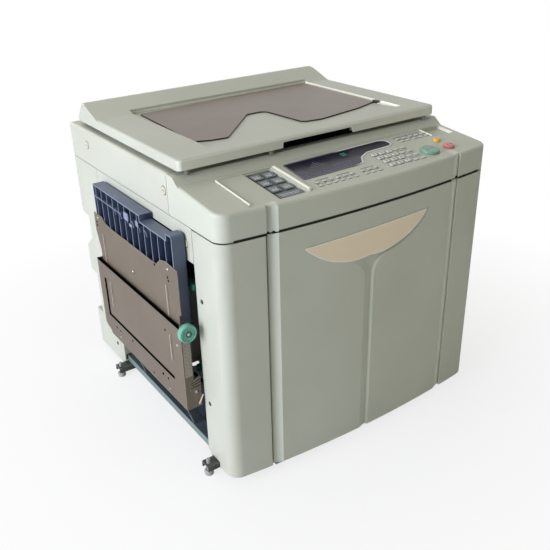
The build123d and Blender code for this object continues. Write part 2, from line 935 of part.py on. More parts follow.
# Soft keys of one elastic sheet: they stand on the panel and in the well, and only flex
with BuildPart() as soft_keys:
    with BuildSketch(panel_plane):
        with Locations(*[on_panel(x, depth) for x in (454, 473) for depth in (14, 33, 52, 71)]):
            RectangleRounded(12, 8, 2)
        for group_x in (238, 286, 344):
            with Locations(*[on_panel(group_x + x, depth) for x in (-16, 0, 16) for depth in (11, 24)]):
                RectangleRounded(9, 6, 2)
        with Locations(*[on_panel(x, depth) for x in (497, 514, 531, 548, 565) for depth in (97, 110)]):
            RectangleRounded(11, 7, 2)
    extrude(amount=1.2)
    with BuildSketch(panel_plane.offset(-sub_recess)):
        with Locations(*[on_panel(sub_left + x, depth) for x in (16, 43) for depth in (46, 74, 102)]):
            RectangleRounded(22, 22, 3)
        with Locations(on_panel(sub_left + sub_width / 2 - 0.5, 18)):
            RectangleRounded(50, 18, 3)
    extrude(amount=sub_recess - panel_recess - 0.4)
save(soft_keys.part, "soft_keys")

with BuildPart() as subpanel_lid:
    with BuildSketch(panel_plane.offset(-panel_recess)):
        with Locations(on_panel(lid_left + lid_width / 2, lid_depth)):
            Rectangle(lid_width - 0.6, lid_length - 0.6)
    extrude(amount=lid_thick)
    with BuildSketch(panel_plane.offset(lid_thick - panel_recess)):
        with Locations(on_panel(lid_left + 3, lid_depth)):
            RectangleRounded(4, lid_length - 8, 1.5)
    extrude(amount=panel_recess - lid_thick + 2)
save(subpanel_lid.part, "subpanel_lid")

# Front door: one bowed moulding, open at the back, with the flutes and the goblet shape

door_back = front + corner_radius
door_top = seam_z - front_gap
door_skin = 9  # at the ridges; a flute leaves a third of it
door_wall = 3
door_rib_back = front + 10

plate_x = -8
plate_half = 151
plate_sagitta = 55
plate_low_z = 422
plate_pocket = 4.5
plate_proud = 1
plate_top_z = plate_low_z + plate_sagitta
stem_depth = 5
slope_width = 18  # the goblet's gentle left slope
wall_width = 5  # its steep right wall
bend_z = 375  # where the goblet's stem begins to open
stem_bend = 40  # radius of its right bend, then of the rim below the nameplate and of the tip
stem_turn = 100
rim_radius = 250
rim_end = -60
tip_radius = 70
tip_end = -20
flare_bend = 56  # radius of its left bend, and the length of the straight after it
flare_turn = 70
flare_length = 60
front_y = front - front_bulge


def arc_point(centre, radius, angle):
    """Point on a circle at this angle in degrees."""
    return (
        centre[0] + radius * cos(radians(angle)),
        centre[1] + radius * sin(radians(angle)),
    )


stem_centre = (stem_bend, bend_z)
rim_centre = arc_point(stem_centre, stem_bend + rim_radius, stem_turn)
tip_centre = arc_point(rim_centre, rim_radius - tip_radius, rim_end)
flare_centre = (-flare_bend, bend_z)
flare_start = arc_point(flare_centre, flare_bend, flare_turn)
flare_tip = arc_point(flare_start, flare_length, flare_turn + 90)


def bowed_sheet(half, low_z, high_z, outer_inset, inner_inset):
    """Upright sheet that follows the bowed front between two insets."""
    with BuildSketch(Plane.XY.offset(low_z)) as plan:
        add(bowed_slab(-half, half, front + 2, outer_inset))
        add(bowed_slab(-half - 1, half + 1, front + 3, inner_inset), mode=Mode.SUBTRACT)
    extrude(plan.sketch, amount=high_z - low_z)


def nameplate_outline(grow=0):
    """The nameplate's outline: straight above, a boat's curve below, with rounded tips."""
    tips = ((plate_x + plate_half, plate_top_z + 2), (plate_x - plate_half, plate_top_z - 3))
    with BuildSketch(mode=Mode.PRIVATE) as outline:
        with BuildLine():
            Line(*tips)
            ThreePointArc(tips[1], (plate_x - 100, plate_low_z + 15), (plate_x, plate_low_z))
            ThreePointArc((plate_x, plate_low_z), (plate_x + 82, plate_low_z + 9), tips[0])
        make_face()
        fillet(outline.vertices(), 4)
        if grow:
            offset(amount=grow)
    return outline.sketch


with BuildPart() as nameplate:
    bowed_sheet(plate_half + 14, plate_low_z - 5, plate_top_z + 5, -plate_proud, plate_pocket)
    with BuildSketch(front_plane(front_y - 10)):
        add(nameplate_outline())
    extrude(amount=-60, mode=Mode.INTERSECT)
save(nameplate.part, "nameplate")

with BuildPart() as nameplate_pocket:
    bowed_sheet(plate_half + 14, plate_low_z - 5, plate_top_z + 5, -8, plate_pocket)
    with BuildSketch(front_plane(front_y - 20)):
        add(nameplate_outline(0.4))
    extrude(amount=-70, mode=Mode.INTERSECT)

with BuildPart() as goblet_bowl:
    bowed_sheet(plate_half, bend_z - 5, plate_top_z, -8, stem_depth)
    with BuildSketch(front_plane(front_y - 20)):
        with BuildLine():
            Polyline(
                (0, bend_z),
                *[arc_point(stem_centre, stem_bend, angle) for angle in (160, 140, 120, stem_turn)],
                *[arc_point(rim_centre, rim_radius, angle) for angle in (-75, -70, -65)],
                (plate_x + 87, plate_low_z + 22),
                flare_tip,
                *[arc_point(flare_centre, flare_bend, angle) for angle in (flare_turn, 50, 30, 15)],
                close=True,
            )
        make_face()
    extrude(amount=-70, mode=Mode.INTERSECT)

with BuildPart() as front_door:
    with BuildSketch(Plane.XY.offset(shell_floor_z)):
        add(bowed_slab(door_left, right, door_back, 0, 0, corner_radius))
        add(flute_cutter(-1), mode=Mode.SUBTRACT)
        add(flute_cutter(1), mode=Mode.SUBTRACT)
    extrude(amount=door_top - shell_floor_z)
    hinge_edge = front_door.edges().filter_by(Axis.Z).sort_by(Axis.X)[:2].sort_by(Axis.Y)[0]
    fillet(hinge_edge, column_edge_radius)
    with BuildSketch(Plane.XY.offset(shell_floor_z + door_wall)):
        add(bowed_slab(door_left + door_wall, right - door_wall, door_back + 1, door_skin, 0, 20))
    extrude(amount=door_top - shell_floor_z - 2 * door_wall, mode=Mode.SUBTRACT)
    # Stiffening ribs behind the skin, and the two hinge bosses
    for rib_x in (-150, -60, 110, 190, 260):
        block(rib_x - 1, rib_x + 1, skin_y(rib_x, 8), door_rib_back, shell_floor_z + 1, door_top - 1)
    for rib_z in (110, 210, 310, 400):
        with BuildSketch(Plane.XY.offset(rib_z)):
            add(bowed_slab(door_left + 1, right - 14, door_rib_back, 8))
        extrude(amount=2)
    with Locations((hinge_x, hinge_y, shell_floor_z + 9), (hinge_x, hinge_y, door_top - 9)):
        Cylinder(hinge_boss_radius, 18)
    with Locations((hinge_x, hinge_y, shell_floor_z + 8), (hinge_x, hinge_y, door_top - 8)):
        Cylinder(door_pin_radius + pin_clearance, 16.2, mode=Mode.SUBTRACT)
    # The goblet: a flute that climbs the middle and opens round the nameplate's lower edge
    stem_plane = Plane(origin=(0, front_y, shell_floor_z - 5), z_dir=(0, 0, 1))
    with BuildLine(front_plane(front_y)) as right_path:
        Line((0, shell_floor_z - 5), (0, bend_z))
        for centre, radius, start, end in (
            (stem_centre, stem_bend, 180, stem_turn),
            (rim_centre, rim_radius, stem_turn - 180, rim_end),
            (tip_centre, tip_radius, rim_end, tip_end),
        ):
            ThreePointArc(
                arc_point(centre, radius, start),
                arc_point(centre, radius, (start + end) / 2),
                arc_point(centre, radius, end),
            )
    with BuildSketch(stem_plane) as right_groove:
        with BuildLine():
            Line((wall_width, -4), (wall_width, -0.1))
            ThreePointArc((wall_width, -0.1), (wall_width * 0.62, 1.2), (0, stem_depth))
            ThreePointArc((0, stem_depth), (-slope_width / 3, stem_depth * 0.72), (-slope_width, -0.1))
            Polyline((-slope_width, -0.1), (-slope_width, -4), (wall_width, -4))
        make_face()
    sweep(right_groove.sketch, path=right_path.wires()[0], mode=Mode.SUBTRACT)
    with BuildLine(front_plane(front_y)) as left_path:
        Line((0, shell_floor_z - 5), (0, bend_z))
        ThreePointArc((0, bend_z), arc_point(flare_centre, flare_bend, flare_turn / 2), flare_start)
        Line(flare_start, flare_tip)
    with BuildSketch(stem_plane) as left_groove:
        with BuildLine():
            Line((0, -4), (0, stem_depth))
            ThreePointArc((0, stem_depth), (-slope_width / 3, stem_depth * 0.72), (-slope_width, -0.1))
            Polyline((-slope_width, -0.1), (-slope_width, -4), (0, -4))
        make_face()
    sweep(left_groove.sketch, path=left_path.wires()[0], mode=Mode.SUBTRACT)
    add(goblet_bowl.part, mode=Mode.SUBTRACT)
    add(nameplate_pocket.part, mode=Mode.SUBTRACT)
save(front_door.part, "front_door")

with BuildPart() as door_hinge:
    block(
        hinge_x - 14,
        hinge_x + 14,
        hinge_y - 7,
        foot_ys[0] + channel_width / 2,
        channel_z - 3,
        channel_z,
    )
    with Locations((hinge_x, hinge_y, (channel_z - 3 + shell_floor_z + 15) / 2)):
        Cylinder(door_pin_radius, shell_floor_z + 18 - channel_z)
    with Locations((hinge_x, hinge_y, (door_top - 14 + seam_z + pin_socket) / 2)):
        Cylinder(door_pin_radius, seam_z + pin_socket - door_top + 14)
save(door_hinge.part, "door_hinge")

# Inner panel behind the door, with the drum opening

liner_front = front + 38
liner_left = door_left + 9
liner_right = right - 4
liner_back = plate_front - plate_thick
liner_top = seam_z - 5
drum_opening = drum_door_radius + 10

with BuildPart() as inner_panel:
    block(liner_left, liner_right, liner_front, liner_back, base_top_z, liner_top)
    block(
        liner_left + shell_wall,
        liner_right - shell_wall,
        liner_front + shell_wall,
        liner_back + 1,
        base_top_z + shell_wall,
        liner_top - shell_wall,
        Mode.SUBTRACT,
    )
    with BuildSketch(xz_plane(liner_front)):
        with Locations((-drum_x, drum_z)):
            Circle(drum_opening + shell_wall)
    extrude(amount=liner_back - liner_front - 11)
    with BuildSketch(xz_plane(liner_front - 1)):
        with Locations((-drum_x, drum_z)):
            Circle(drum_opening)
    extrude(amount=liner_back - liner_front, mode=Mode.SUBTRACT)
    with BuildSketch(xz_plane(liner_front)):
        with Locations((-(liner_right - 75), 330)):
            RectangleRounded(96, 230, 8)
            with GridLocations(1, 30, 1, 6):
                SlotOverall(70, 8, mode=Mode.SUBTRACT)
    extrude(amount=-3)
    with BuildSketch(xz_plane(liner_front)):
        with Locations((-(drum_x - 10), 110)):
            RectangleRounded(300, 90, 8)
            RectangleRounded(288, 78, 6, mode=Mode.SUBTRACT)
    extrude(amount=-3)
save(inner_panel.part, "inner_panel")

# Original cover: a shallow moulding with a raised rear hump and a recess for the glazing

cover_half = 311
cover_front_y = -170.8
cover_rear_y = 300.6
cover_low_z = deck_z + 8.4
cover_top_z = cover_low_z + 19.7
hump_start_y = 196
hump_top_y = 262
hump_end_y = 269.5
hump_z = 648.8
cover_wall = 3
recess_floor_z = cover_top_z - 4.6
recess_x = (-226, 252)
recess_y = (-131, 211)
cover_axis_y = 292
cover_axis_z = deck_z + 11.5
cover_pin_radius = 4
lug_radius = 7
hinge_places = (-215, 215)
lug_width = 14
post_width = 12
handle_x = (-87, 86)
handle_height = 11

with BuildPart() as original_cover:
    with BuildSketch(yz_plane(-cover_half)):
        with BuildLine():
            Polyline(
                (cover_front_y, cover_low_z),
                (cover_front_y, cover_top_z),
                (hump_start_y, cover_top_z),
                (hump_top_y, hump_z),
                (hump_end_y, hump_z),
                (cover_rear_y, cover_low_z + 7),
                (cover_rear_y, cover_low_z),
                close=True,
            )
        make_face()
    extrude(amount=2 * cover_half)
    upright = original_cover.edges().filter_by(Axis.Z)
    fillet(upright.sort_by(Axis.Y)[:2], 9)
    top_rim = original_cover.edges().filter_by(lambda edge: edge.center().Z > cover_top_z - 1)
    fillet(top_rim.filter_by(Axis.Y), 5)
    with BuildSketch(yz_plane(-cover_half + cover_wall)):
        with BuildLine():
            Polyline(
                (cover_front_y + cover_wall, cover_low_z - 1),
                (cover_front_y + cover_wall, recess_floor_z - cover_wall),
                (recess_y[1] - 1, recess_floor_z - cover_wall),
                (recess_y[1] + 4, cover_top_z + 1),
                (hump_top_y + 1, hump_z - cover_wall),
                (hump_end_y - 2, hump_z - cover_wall),
                (cover_rear_y - cover_wall, cover_low_z + 5.5),
                (cover_rear_y - cover_wall, cover_low_z - 1),
                close=True,
            )
        make_face()
    extrude(amount=2 * (cover_half - cover_wall), mode=Mode.SUBTRACT)
    block(*recess_x, *recess_y, recess_floor_z, hump_z + 1, Mode.SUBTRACT)
    # Ribs that back the pad
    for rib_y in (-120, -40, 40, 120, 190):
        block(2 - cover_half, cover_half - 2, rib_y - 1, rib_y + 1, cover_low_z, recess_floor_z - 2)
    for rib_x in (-240, -120, 0, 120, 240):
        block(rib_x - 1, rib_x + 1, cover_front_y + 2, 205, cover_low_z, recess_floor_z - 2)
    # Finger notch under the front edge
    with BuildSketch(front_plane(cover_front_y + 14)):
        with BuildLine():
            Polyline(
                (handle_x[0], cover_low_z - 1),
                (handle_x[0] + 1, cover_low_z + handle_height),
                (handle_x[1] - 6, cover_low_z + handle_height),
                (handle_x[1], cover_low_z - 1),
                close=True,
            )
        make_face()
    extrude(amount=20, mode=Mode.SUBTRACT)
    # Hinge lugs, with the slots that clear the posts
    for place in hinge_places:
        block(
            place - post_width / 2 - 0.5,
            place + post_width / 2 + 0.5,
            cover_rear_y - 20,
            cover_rear_y + 1,
            cover_low_z - 1,
            cover_axis_z + lug_radius + 3,
            Mode.SUBTRACT,
        )
        for side in (-1, 1):
            lug_x = place + side * (post_width / 2 + 0.5)
            with BuildSketch(yz_plane(lug_x)):
                with Locations((cover_axis_y, cover_axis_z)):
                    Circle(lug_radius)
                with Locations((cover_axis_y + 1, cover_axis_z + 6)):
                    Rectangle(2 * lug_radius - 2, 12)
            extrude(amount=side * lug_width)
        with BuildSketch(yz_plane(place - 40)):
            with Locations((cover_axis_y, cover_axis_z)):
                Circle(cover_pin_radius + pin_clearance)
        extrude(amount=80, mode=Mode.SUBTRACT)
save(original_cover.part, "original_cover")

glazing_corners = (
    (240, 204, 3),
    (-212, 190, 3),
    (-226, -73, 3),
    (-196, -87, 20),
    (-160, -92, 10),
    (-36, 34, 20),
    (9, 34, 18),
    (18, -92, 12),
    (60, -100, 60),
    (180, -78, 80),
    (238, -58, 2),
)
with BuildPart() as cover_glazing:
    with BuildSketch(Plane.XY.offset(recess_floor_z)) as glazing_outline:
        with BuildLine():
            Polyline(*[corner[:2] for corner in glazing_corners], close=True)
        make_face()
        for x, y, radius in glazing_corners:
            fillet(glazing_outline.vertices().sort_by_distance((x, y, recess_floor_z))[0], radius)
    extrude(amount=3)
save(cover_glazing.part, "cover_glazing")

pad_front = cover_front_y + 34
pad_back = 262
with BuildPart() as platen_pad:
    block(20 - cover_half, cover_half - 20, pad_front, pad_back, deck_z + 0.7, cover_low_z)
save(platen_pad.part, "platen_pad")

with BuildPart() as cover_hinges:
    for place in hinge_places:
        with BuildSketch(yz_plane(place - post_width / 2)):
            with Locations((cover_axis_y, cover_axis_z)):
                Circle(lug_radius - 1)
            with BuildLine():
                Polyline(
                    (cover_axis_y - 6, cover_axis_z),
                    (cover_axis_y - 9, deck_z),
                    (cover_axis_y + 6, deck_z),
                    (cover_axis_y + 6, cover_axis_z),
                    close=True,
                )
            make_face()
        extrude(amount=post_width)
        with BuildSketch(yz_plane(place - post_width / 2 - lug_width)):
            with Locations((cover_axis_y, cover_axis_z)):
                Circle(cover_pin_radius)
        extrude(amount=post_width + 2 * lug_width)
save(cover_hinges.part, "cover_hinges")

with BuildPart() as deck_bumpers:
    with Locations(*[(x, cover_front_y + 4.5, deck_z + 4) for x in (-292, -112, 285)]):
        Cylinder(4.5, 8)
save(deck_bumpers.part, "deck_bumpers")

# Screw caps on the left side and rivets on the column

with BuildPart() as screw_caps:
    with BuildSketch(yz_plane(left)):
        with Locations((241, 564), (-128, 563), (-198, 484)):
            Circle(8)
            Rectangle(9, 1.6, mode=Mode.SUBTRACT)
        with Locations((-243, 384), (-243.5, 159)):
            Circle(3)
    extrude(amount=-1.2)
save(screw_caps.part, "screw_caps")

# Feed tray on the left, folded up: frame, sliding deck, its plate, guides and position dial

tray_axis_x = left - 10
tray_axis_z = 134
tray_front = -222
tray_back = 171
tray_low_z = 147
tray_high_z = 329
tray_outer_x = -361
tray_sheet = 1.5
tray_inner_x = -328
tray_rod_radius = 3
tray_pivot_radius = 4
knuckle_radius = 7
deck_outer_x = -351.5
deck_inner_x = -326
deck_y = (-202, 159)
deck_foot_y = -150  # its front edge below the dial
deck_low_z = 170
deck_high_z = 504
deck_slide_zs = (200, 300)
deck_slide_x = -346
strip_x = -342  # inner edge of the frame's narrow front flange
bracket_z = 212  # top of its bracket
dial_y = -241
dial_x = -353
dial_z = 325.6
dial_radius = 18
dial_thick = 12

with BuildPart() as feed_tray_frame:
    with BuildSketch(yz_plane(tray_outer_x)):
        with BuildLine():
            Polyline(
                (tray_front, tray_low_z),
                (tray_front, tray_high_z),
                (tray_back, tray_high_z),
                (tray_back, 165),
                (160, 158),
                (144, 154),
                (140, tray_low_z),
                close=True,
            )
        make_face()
        with BuildLine():
            Polyline(
                (137, 292),
                (132, 205),
                (119, 202.5),
                (-179, 203.5),
                (-179, 200),
                (120, 199),
                (135, 202),
                (140, 292),
                close=True,
            )
        make_face(mode=Mode.SUBTRACT)
        with Locations((86, 177), (-148, 181), (-126, 181)):
            Circle(4, mode=Mode.SUBTRACT)
    extrude(amount=tray_sheet)
    # Embossed ribs of the outer plate
    for rib_y, rib_low, rib_high in ((105, 233, 294), (-178, 241, 298)):
        with BuildSketch(yz_plane(tray_outer_x)):
            with Locations((rib_y, (rib_low + rib_high) / 2)):
                SlotOverall(rib_high - rib_low, 7, rotation=90)
        extrude(amount=-1.2)
    # Side flanges, bottom flange and the two slide rods
    block(tray_outer_x, strip_x, tray_front, tray_front + tray_sheet, tray_low_z, tray_high_z)
    with BuildSketch(xz_plane(tray_front)):
        with BuildLine():
            Polyline(
                (-strip_x - 1, bracket_z),
                (-tray_inner_x, bracket_z - 14),
                (-tray_inner_x, tray_low_z),
                (-strip_x - 1, tray_low_z),
                close=True,
            )
        make_face()
        with Locations((-tray_inner_x + 8, bracket_z - 30)):
            Circle(4, mode=Mode.SUBTRACT)
    extrude(amount=tray_sheet)
    block(tray_outer_x, tray_inner_x, tray_back - tray_sheet, tray_back, 165, tray_high_z)
    block(tray_outer_x, tray_inner_x, tray_front, 140, tray_low_z, tray_low_z + tray_sheet)
    block(
        tray_outer_x,
        dial_x + 12,
        tray_front,
        tray_front + tray_sheet,
        tray_high_z - 20,
        dial_z + 12,
    )
    with BuildSketch(xz_plane(tray_front)):
        with Locations(*[(-deck_slide_x, z) for z in deck_slide_zs]):
            Circle(tray_rod_radius)
    extrude(amount=tray_back - tray_front)
    # Pivot knuckles under the bottom flange
    for knuckle_y, knuckle_width in ((-190, 40), (95, 45)):
        with BuildSketch(xz_plane(knuckle_y)):
            with Locations((-tray_axis_x, tray_axis_z)):
                Circle(knuckle_radius)
            with Locations((-tray_axis_x, tray_axis_z + 7)):
                Rectangle(2 * knuckle_radius, 14)
        extrude(amount=knuckle_width)
        with BuildSketch(xz_plane(knuckle_y - 1)):
            with Locations((-tray_axis_x, tray_axis_z)):
                Circle(tray_pivot_radius + pin_clearance)
        extrude(amount=knuckle_width + 2, mode=Mode.SUBTRACT)
    with BuildSketch(xz_plane(tray_front - 1)):
        with Locations((-dial_x, dial_z)):
            Circle(tray_rod_radius + pin_clearance)
    extrude(amount=tray_sheet + 2, mode=Mode.SUBTRACT)
save(feed_tray_frame.part, "feed_tray_frame")

deck_floor = 3
deck_rim = 2.5
deck_rib_pitch = 29


def deck_outline(inset=0):
    """Side outline of the ribbed deck, drawn in by inset."""
    with BuildSketch(mode=Mode.PRIVATE) as outline:
        with BuildLine():
            Polyline(
                (deck_foot_y, deck_low_z),
                (deck_foot_y, tray_high_z - 8),
                (deck_y[0], tray_high_z - 8),
                (deck_y[0], deck_high_z),
                (deck_y[0] + 24, deck_high_z),
                (deck_y[0] + 24, deck_high_z - 13),
                (-70, deck_high_z - 13),
                (-70, deck_high_z),
                (deck_y[1], deck_high_z),
                (deck_y[1], deck_low_z),
                close=True,
            )
        make_face()
        if inset:
            offset(amount=-inset, kind=Kind.INTERSECTION)
    return outline.sketch


with BuildPart() as feed_tray_deck:
    with BuildSketch(yz_plane(deck_outer_x)):
        add(deck_outline())
    extrude(amount=deck_inner_x - deck_outer_x)
    front_top = feed_tray_deck.edges().filter_by(Axis.X).group_by(Axis.Z)[-1].sort_by(Axis.Y)[0]
    fillet(front_top, 7)
    with BuildSketch(yz_plane(deck_outer_x)):
        add(deck_outline(deck_rim))
        for rib in range(1, 13):
            with Locations((deck_y[0] + rib * deck_rib_pitch, (deck_low_z + deck_high_z) / 2)):
                Rectangle(2, deck_high_z - deck_low_z, mode=Mode.SUBTRACT)
        with Locations(((deck_y[1] + 20) / 2, deck_high_z - 26)):
            Rectangle(deck_y[1] - 20, 2, mode=Mode.SUBTRACT)
        with Locations((0, 250), (0, 400)):
            Rectangle(2 * deck_y[1] + 100, 2, mode=Mode.SUBTRACT)
    extrude(amount=deck_inner_x - deck_outer_x - deck_floor, mode=Mode.SUBTRACT)
    with BuildSketch(xz_plane(deck_y[0] - 1)):
        with Locations(*[(-deck_slide_x, z) for z in deck_slide_zs]):
            Circle(tray_rod_radius + pin_clearance)
    extrude(amount=deck_y[1] - deck_y[0] + 2, mode=Mode.SUBTRACT)
    # Rail of the two paper guides
    block(deck_inner_x, deck_inner_x + 5, deck_y[0] + 12, deck_y[1] - 12, 296, 304)
save(feed_tray_deck.part, "feed_tray_deck")

with BuildPart() as deck_plate:
    with BuildSketch(yz_plane(deck_outer_x)):
        with BuildLine():
            Polyline(
                (-208, 235),
                (-208, 352),
                (-215, 352),
                (-215, 443),
                (-168, 446),
                (-147, 440),
                (-129, 425),
                (87, 425),
                (114, 428),
                (129, 437),
                (172, 437),
                (172, 396),
                (157, 352),
                (157, 235),
                close=True,
            )
        make_face()
    extrude(amount=-tray_sheet)
    with BuildSketch(yz_plane(deck_outer_x - tray_sheet)):
        with Locations((131, 362), (-166, 362)):
            SlotOverall(72, 7, rotation=90)
        with Locations((154, 426), (-174, 430), (-13, 363)):
            Circle(3.5)
    extrude(amount=-1.2)
save(deck_plate.part, "feed_tray_deck_plate")

with BuildPart() as position_dial:
    with BuildSketch(xz_plane(dial_y)):
        with Locations((-dial_x, dial_z)):
            Circle(dial_radius)
            with PolarLocations(dial_radius, 18):
                Circle(1.5, mode=Mode.SUBTRACT)
    extrude(amount=dial_thick)
    with BuildSketch(xz_plane(dial_y - 2.5)):
        with Locations((-dial_x, dial_z)):
            Circle(7)
            Circle(3, mode=Mode.SUBTRACT)
    extrude(amount=2.5)
    with BuildSketch(xz_plane(dial_y)):
        with Locations((-dial_x, dial_z)):
            Circle(8)
    extrude(amount=tray_front - 0.3 - dial_y)
    with BuildSketch(xz_plane(tray_front - 1)):
        with Locations((-dial_x, dial_z)):
            Circle(tray_rod_radius)
    extrude(amount=tray_sheet + 2)
save(position_dial.part, "position_dial")

guide_reach = 30
guide_gap = 0.3
guide_faces = {"feed_guide_front": (-171, 1), "feed_guide_rear": (127, -1)}
for guide_name, (face_y, side) in guide_faces.items():
    with BuildPart() as guide:
        block(
            deck_inner_x + guide_gap,
            deck_inner_x + guide_reach,
            min(face_y, face_y - side * 3),
            max(face_y, face_y - side * 3),
            215,
            385,
        )
        block(
            deck_inner_x + guide_gap,
            deck_inner_x + 9,
            min(face_y, face_y - side * 26),
            max(face_y, face_y - side * 26),
            286,
            314,
        )
        block(
            deck_inner_x,
            deck_inner_x + 5 + guide_gap,
            face_y - 40,
            face_y + 40,
            296 - guide_gap,
            304 + guide_gap,
            Mode.SUBTRACT,
        )
    save(guide.part, guide_name)

# Receiving tray on the right, folded up over the paper exit

receiver_axis_x = right + 14
receiver_axis_z = 99
receiver_inner_x = right + 8
receiver_outer_x = 380
receiver_y = (-195, 175)
receiver_low_z = 112
receiver_high_z = 500

with BuildPart() as receiving_tray:
    with BuildSketch(yz_plane(receiver_inner_x)):
        with Locations(((receiver_y[0] + receiver_y[1]) / 2, (receiver_low_z + receiver_high_z) / 2)):
            Rectangle(receiver_y[1] - receiver_y[0], receiver_high_z - receiver_low_z)
    extrude(amount=receiver_outer_x - receiver_inner_x)
    fillet(receiving_tray.edges().filter_by(Axis.X), 14)
    offset(amount=-shell_wall, openings=receiving_tray.faces().sort_by(Axis.X)[0])
    # Stiffening ribs outside, side fences inside and the pivot knuckles
    for rib_y in (-130, -70, -10, 50, 110):
        block(
            receiver_inner_x + 20,
            receiver_outer_x - 1,
            rib_y - 1,
            rib_y + 1,
            receiver_low_z + 1,
            receiver_high_z - 1,
        )
    for knuckle_y in (-150, 100):
        with BuildSketch(xz_plane(knuckle_y)):
            with Locations((-receiver_axis_x, receiver_axis_z)):
                Circle(knuckle_radius)
            with Locations((-receiver_axis_x - 1, receiver_axis_z + 7)):
                Rectangle(2 * knuckle_radius - 2, 14)
        extrude(amount=40)
        with BuildSketch(xz_plane(knuckle_y - 1)):
            with Locations((-receiver_axis_x, receiver_axis_z)):
                Circle(tray_pivot_radius + pin_clearance)
        extrude(amount=42, mode=Mode.SUBTRACT)
save(receiving_tray.part, "receiving_tray")

with BuildPart() as tray_hinges:
    # Left: two brackets from the base pan carry the pivot rod
    for bracket_y in (-146, 88):
        with BuildSketch(xz_plane(bracket_y)):
            with BuildLine():
                Polyline(
                    (312, base_top_z),
                    (338, tray_axis_z - 3),
                    (332, tray_axis_z + 5),
                    (326, tray_axis_z + 3),
                    (286, base_top_z),
                    close=True,
                )
            make_face()
        extrude(amount=4)
    with BuildSketch(xz_plane(-196)):
        with Locations((-tray_axis_x, tray_axis_z)):
            Circle(tray_pivot_radius)
    extrude(amount=196 + 146)
    # Right: two blocks on the side cover
    for bracket_y in (-104, 84):
        block(
            right,
            receiver_axis_x + 5,
            bracket_y,
            bracket_y + 10,
            receiver_axis_z - 14,
            receiver_axis_z + 6,
        )
    with BuildSketch(xz_plane(-155)):
        with Locations((-receiver_axis_x, receiver_axis_z)):
            Circle(tray_pivot_radius)
    extrude(amount=155 + 145)
save(tray_hinges.part, "tray_hinges")
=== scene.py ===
import math
import random

import bmesh
import bpy
from mathutils import Matrix, Vector


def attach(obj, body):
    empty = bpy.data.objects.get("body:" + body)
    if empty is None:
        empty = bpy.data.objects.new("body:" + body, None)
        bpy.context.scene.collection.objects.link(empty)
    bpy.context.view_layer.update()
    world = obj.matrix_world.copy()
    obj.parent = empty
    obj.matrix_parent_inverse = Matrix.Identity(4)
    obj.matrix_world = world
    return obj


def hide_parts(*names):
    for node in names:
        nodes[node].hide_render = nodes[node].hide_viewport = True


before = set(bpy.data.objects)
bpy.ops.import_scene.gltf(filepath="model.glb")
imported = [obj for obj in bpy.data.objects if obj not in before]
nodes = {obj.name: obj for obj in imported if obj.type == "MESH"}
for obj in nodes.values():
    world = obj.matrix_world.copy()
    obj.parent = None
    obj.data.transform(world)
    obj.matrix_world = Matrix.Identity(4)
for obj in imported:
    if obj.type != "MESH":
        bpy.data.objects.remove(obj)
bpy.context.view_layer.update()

# The room: a pale floor sheet that sweeps into the horizon, lit by a large lamp at the feed side,
# a wide one overhead and a weak one at the operator's right, as in a small product studio.


def tone(red, green, blue):
    """Linear colour from the eight-bit values that a painter would write down."""
    channels = []
    for value in (red, green, blue):
        share = value / 255
        channels.append(share / 12.92 if share <= 0.04045 else ((share + 0.055) / 1.055) ** 2.4)
    return (*channels, 1.0)


def wire(tree, source, target):
    tree.links.new(source, target)


def band(tree, source, low, high, out_low=0.0, out_high=1.0):
    """The source's range low to high, spread to out_low to out_high and held there."""
    spread = tree.nodes.new("ShaderNodeMapRange")
    spread.inputs["From Min"].default_value = low
    spread.inputs["From Max"].default_value = high
    spread.inputs["To Min"].default_value = out_low
    spread.inputs["To Max"].default_value = out_high
    wire(tree, source, spread.inputs["Value"])
    return spread.outputs["Result"]


def joined(tree, first, second, operation="MULTIPLY"):
    """Two masks made one; the second may be a plain share."""
    both = tree.nodes.new("ShaderNodeMath")
    both.operation = operation
    wire(tree, first, both.inputs[0])
    if isinstance(second, float):
        both.inputs[1].default_value = second
    else:
        wire(tree, second, both.inputs[1])
    return both.outputs[0]


def blended(tree, mask, first, second, output):
    """Sends the first shader, and the second where the mask is 1, to this output."""
    blend = tree.nodes.new("ShaderNodeMixShader")
    wire(tree, mask, blend.inputs["Fac"])
    wire(tree, first.outputs[0], blend.inputs[1])
    wire(tree, second.outputs[0], blend.inputs[2])
    wire(tree, blend.outputs[0], tree.nodes[output].inputs["Surface"])


floor_mesh = bmesh.new()
bmesh.ops.create_grid(floor_mesh, x_segments=2, y_segments=2, size=14)
floor_data = bpy.data.meshes.new("studio_floor")
floor_mesh.to_mesh(floor_data)
floor_mesh.free()
floor = bpy.data.objects.new("studio_floor", floor_data)
bpy.context.collection.objects.link(floor)

floor_paint = bpy.data.materials.new("studio_floor")
floor_paint.use_nodes = True
tree = floor_paint.node_tree
surface = tree.nodes["Principled BSDF"]
surface.inputs["Base Color"].default_value = tone(236, 236, 234)
surface.inputs["Roughness"].default_value = 0.9
glow = tree.nodes.new("ShaderNodeEmission")
glow.inputs["Color"].default_value = (1, 1, 1, 1)
rays = tree.nodes.new("ShaderNodeLightPath").outputs
spot = tree.nodes.new("ShaderNodeTexCoord")
away = tree.nodes.new("ShaderNodeVectorMath")
away.operation = "LENGTH"
wire(tree, spot.outputs["Object"], away.inputs[0])
fade = band(tree, away.outputs["Value"], 0.45, 1.1, 0.78, 1.0)
blended(tree, joined(tree, rays["Is Camera Ray"], fade), surface, glow, "Material Output")
floor_data.materials.append(floor_paint)

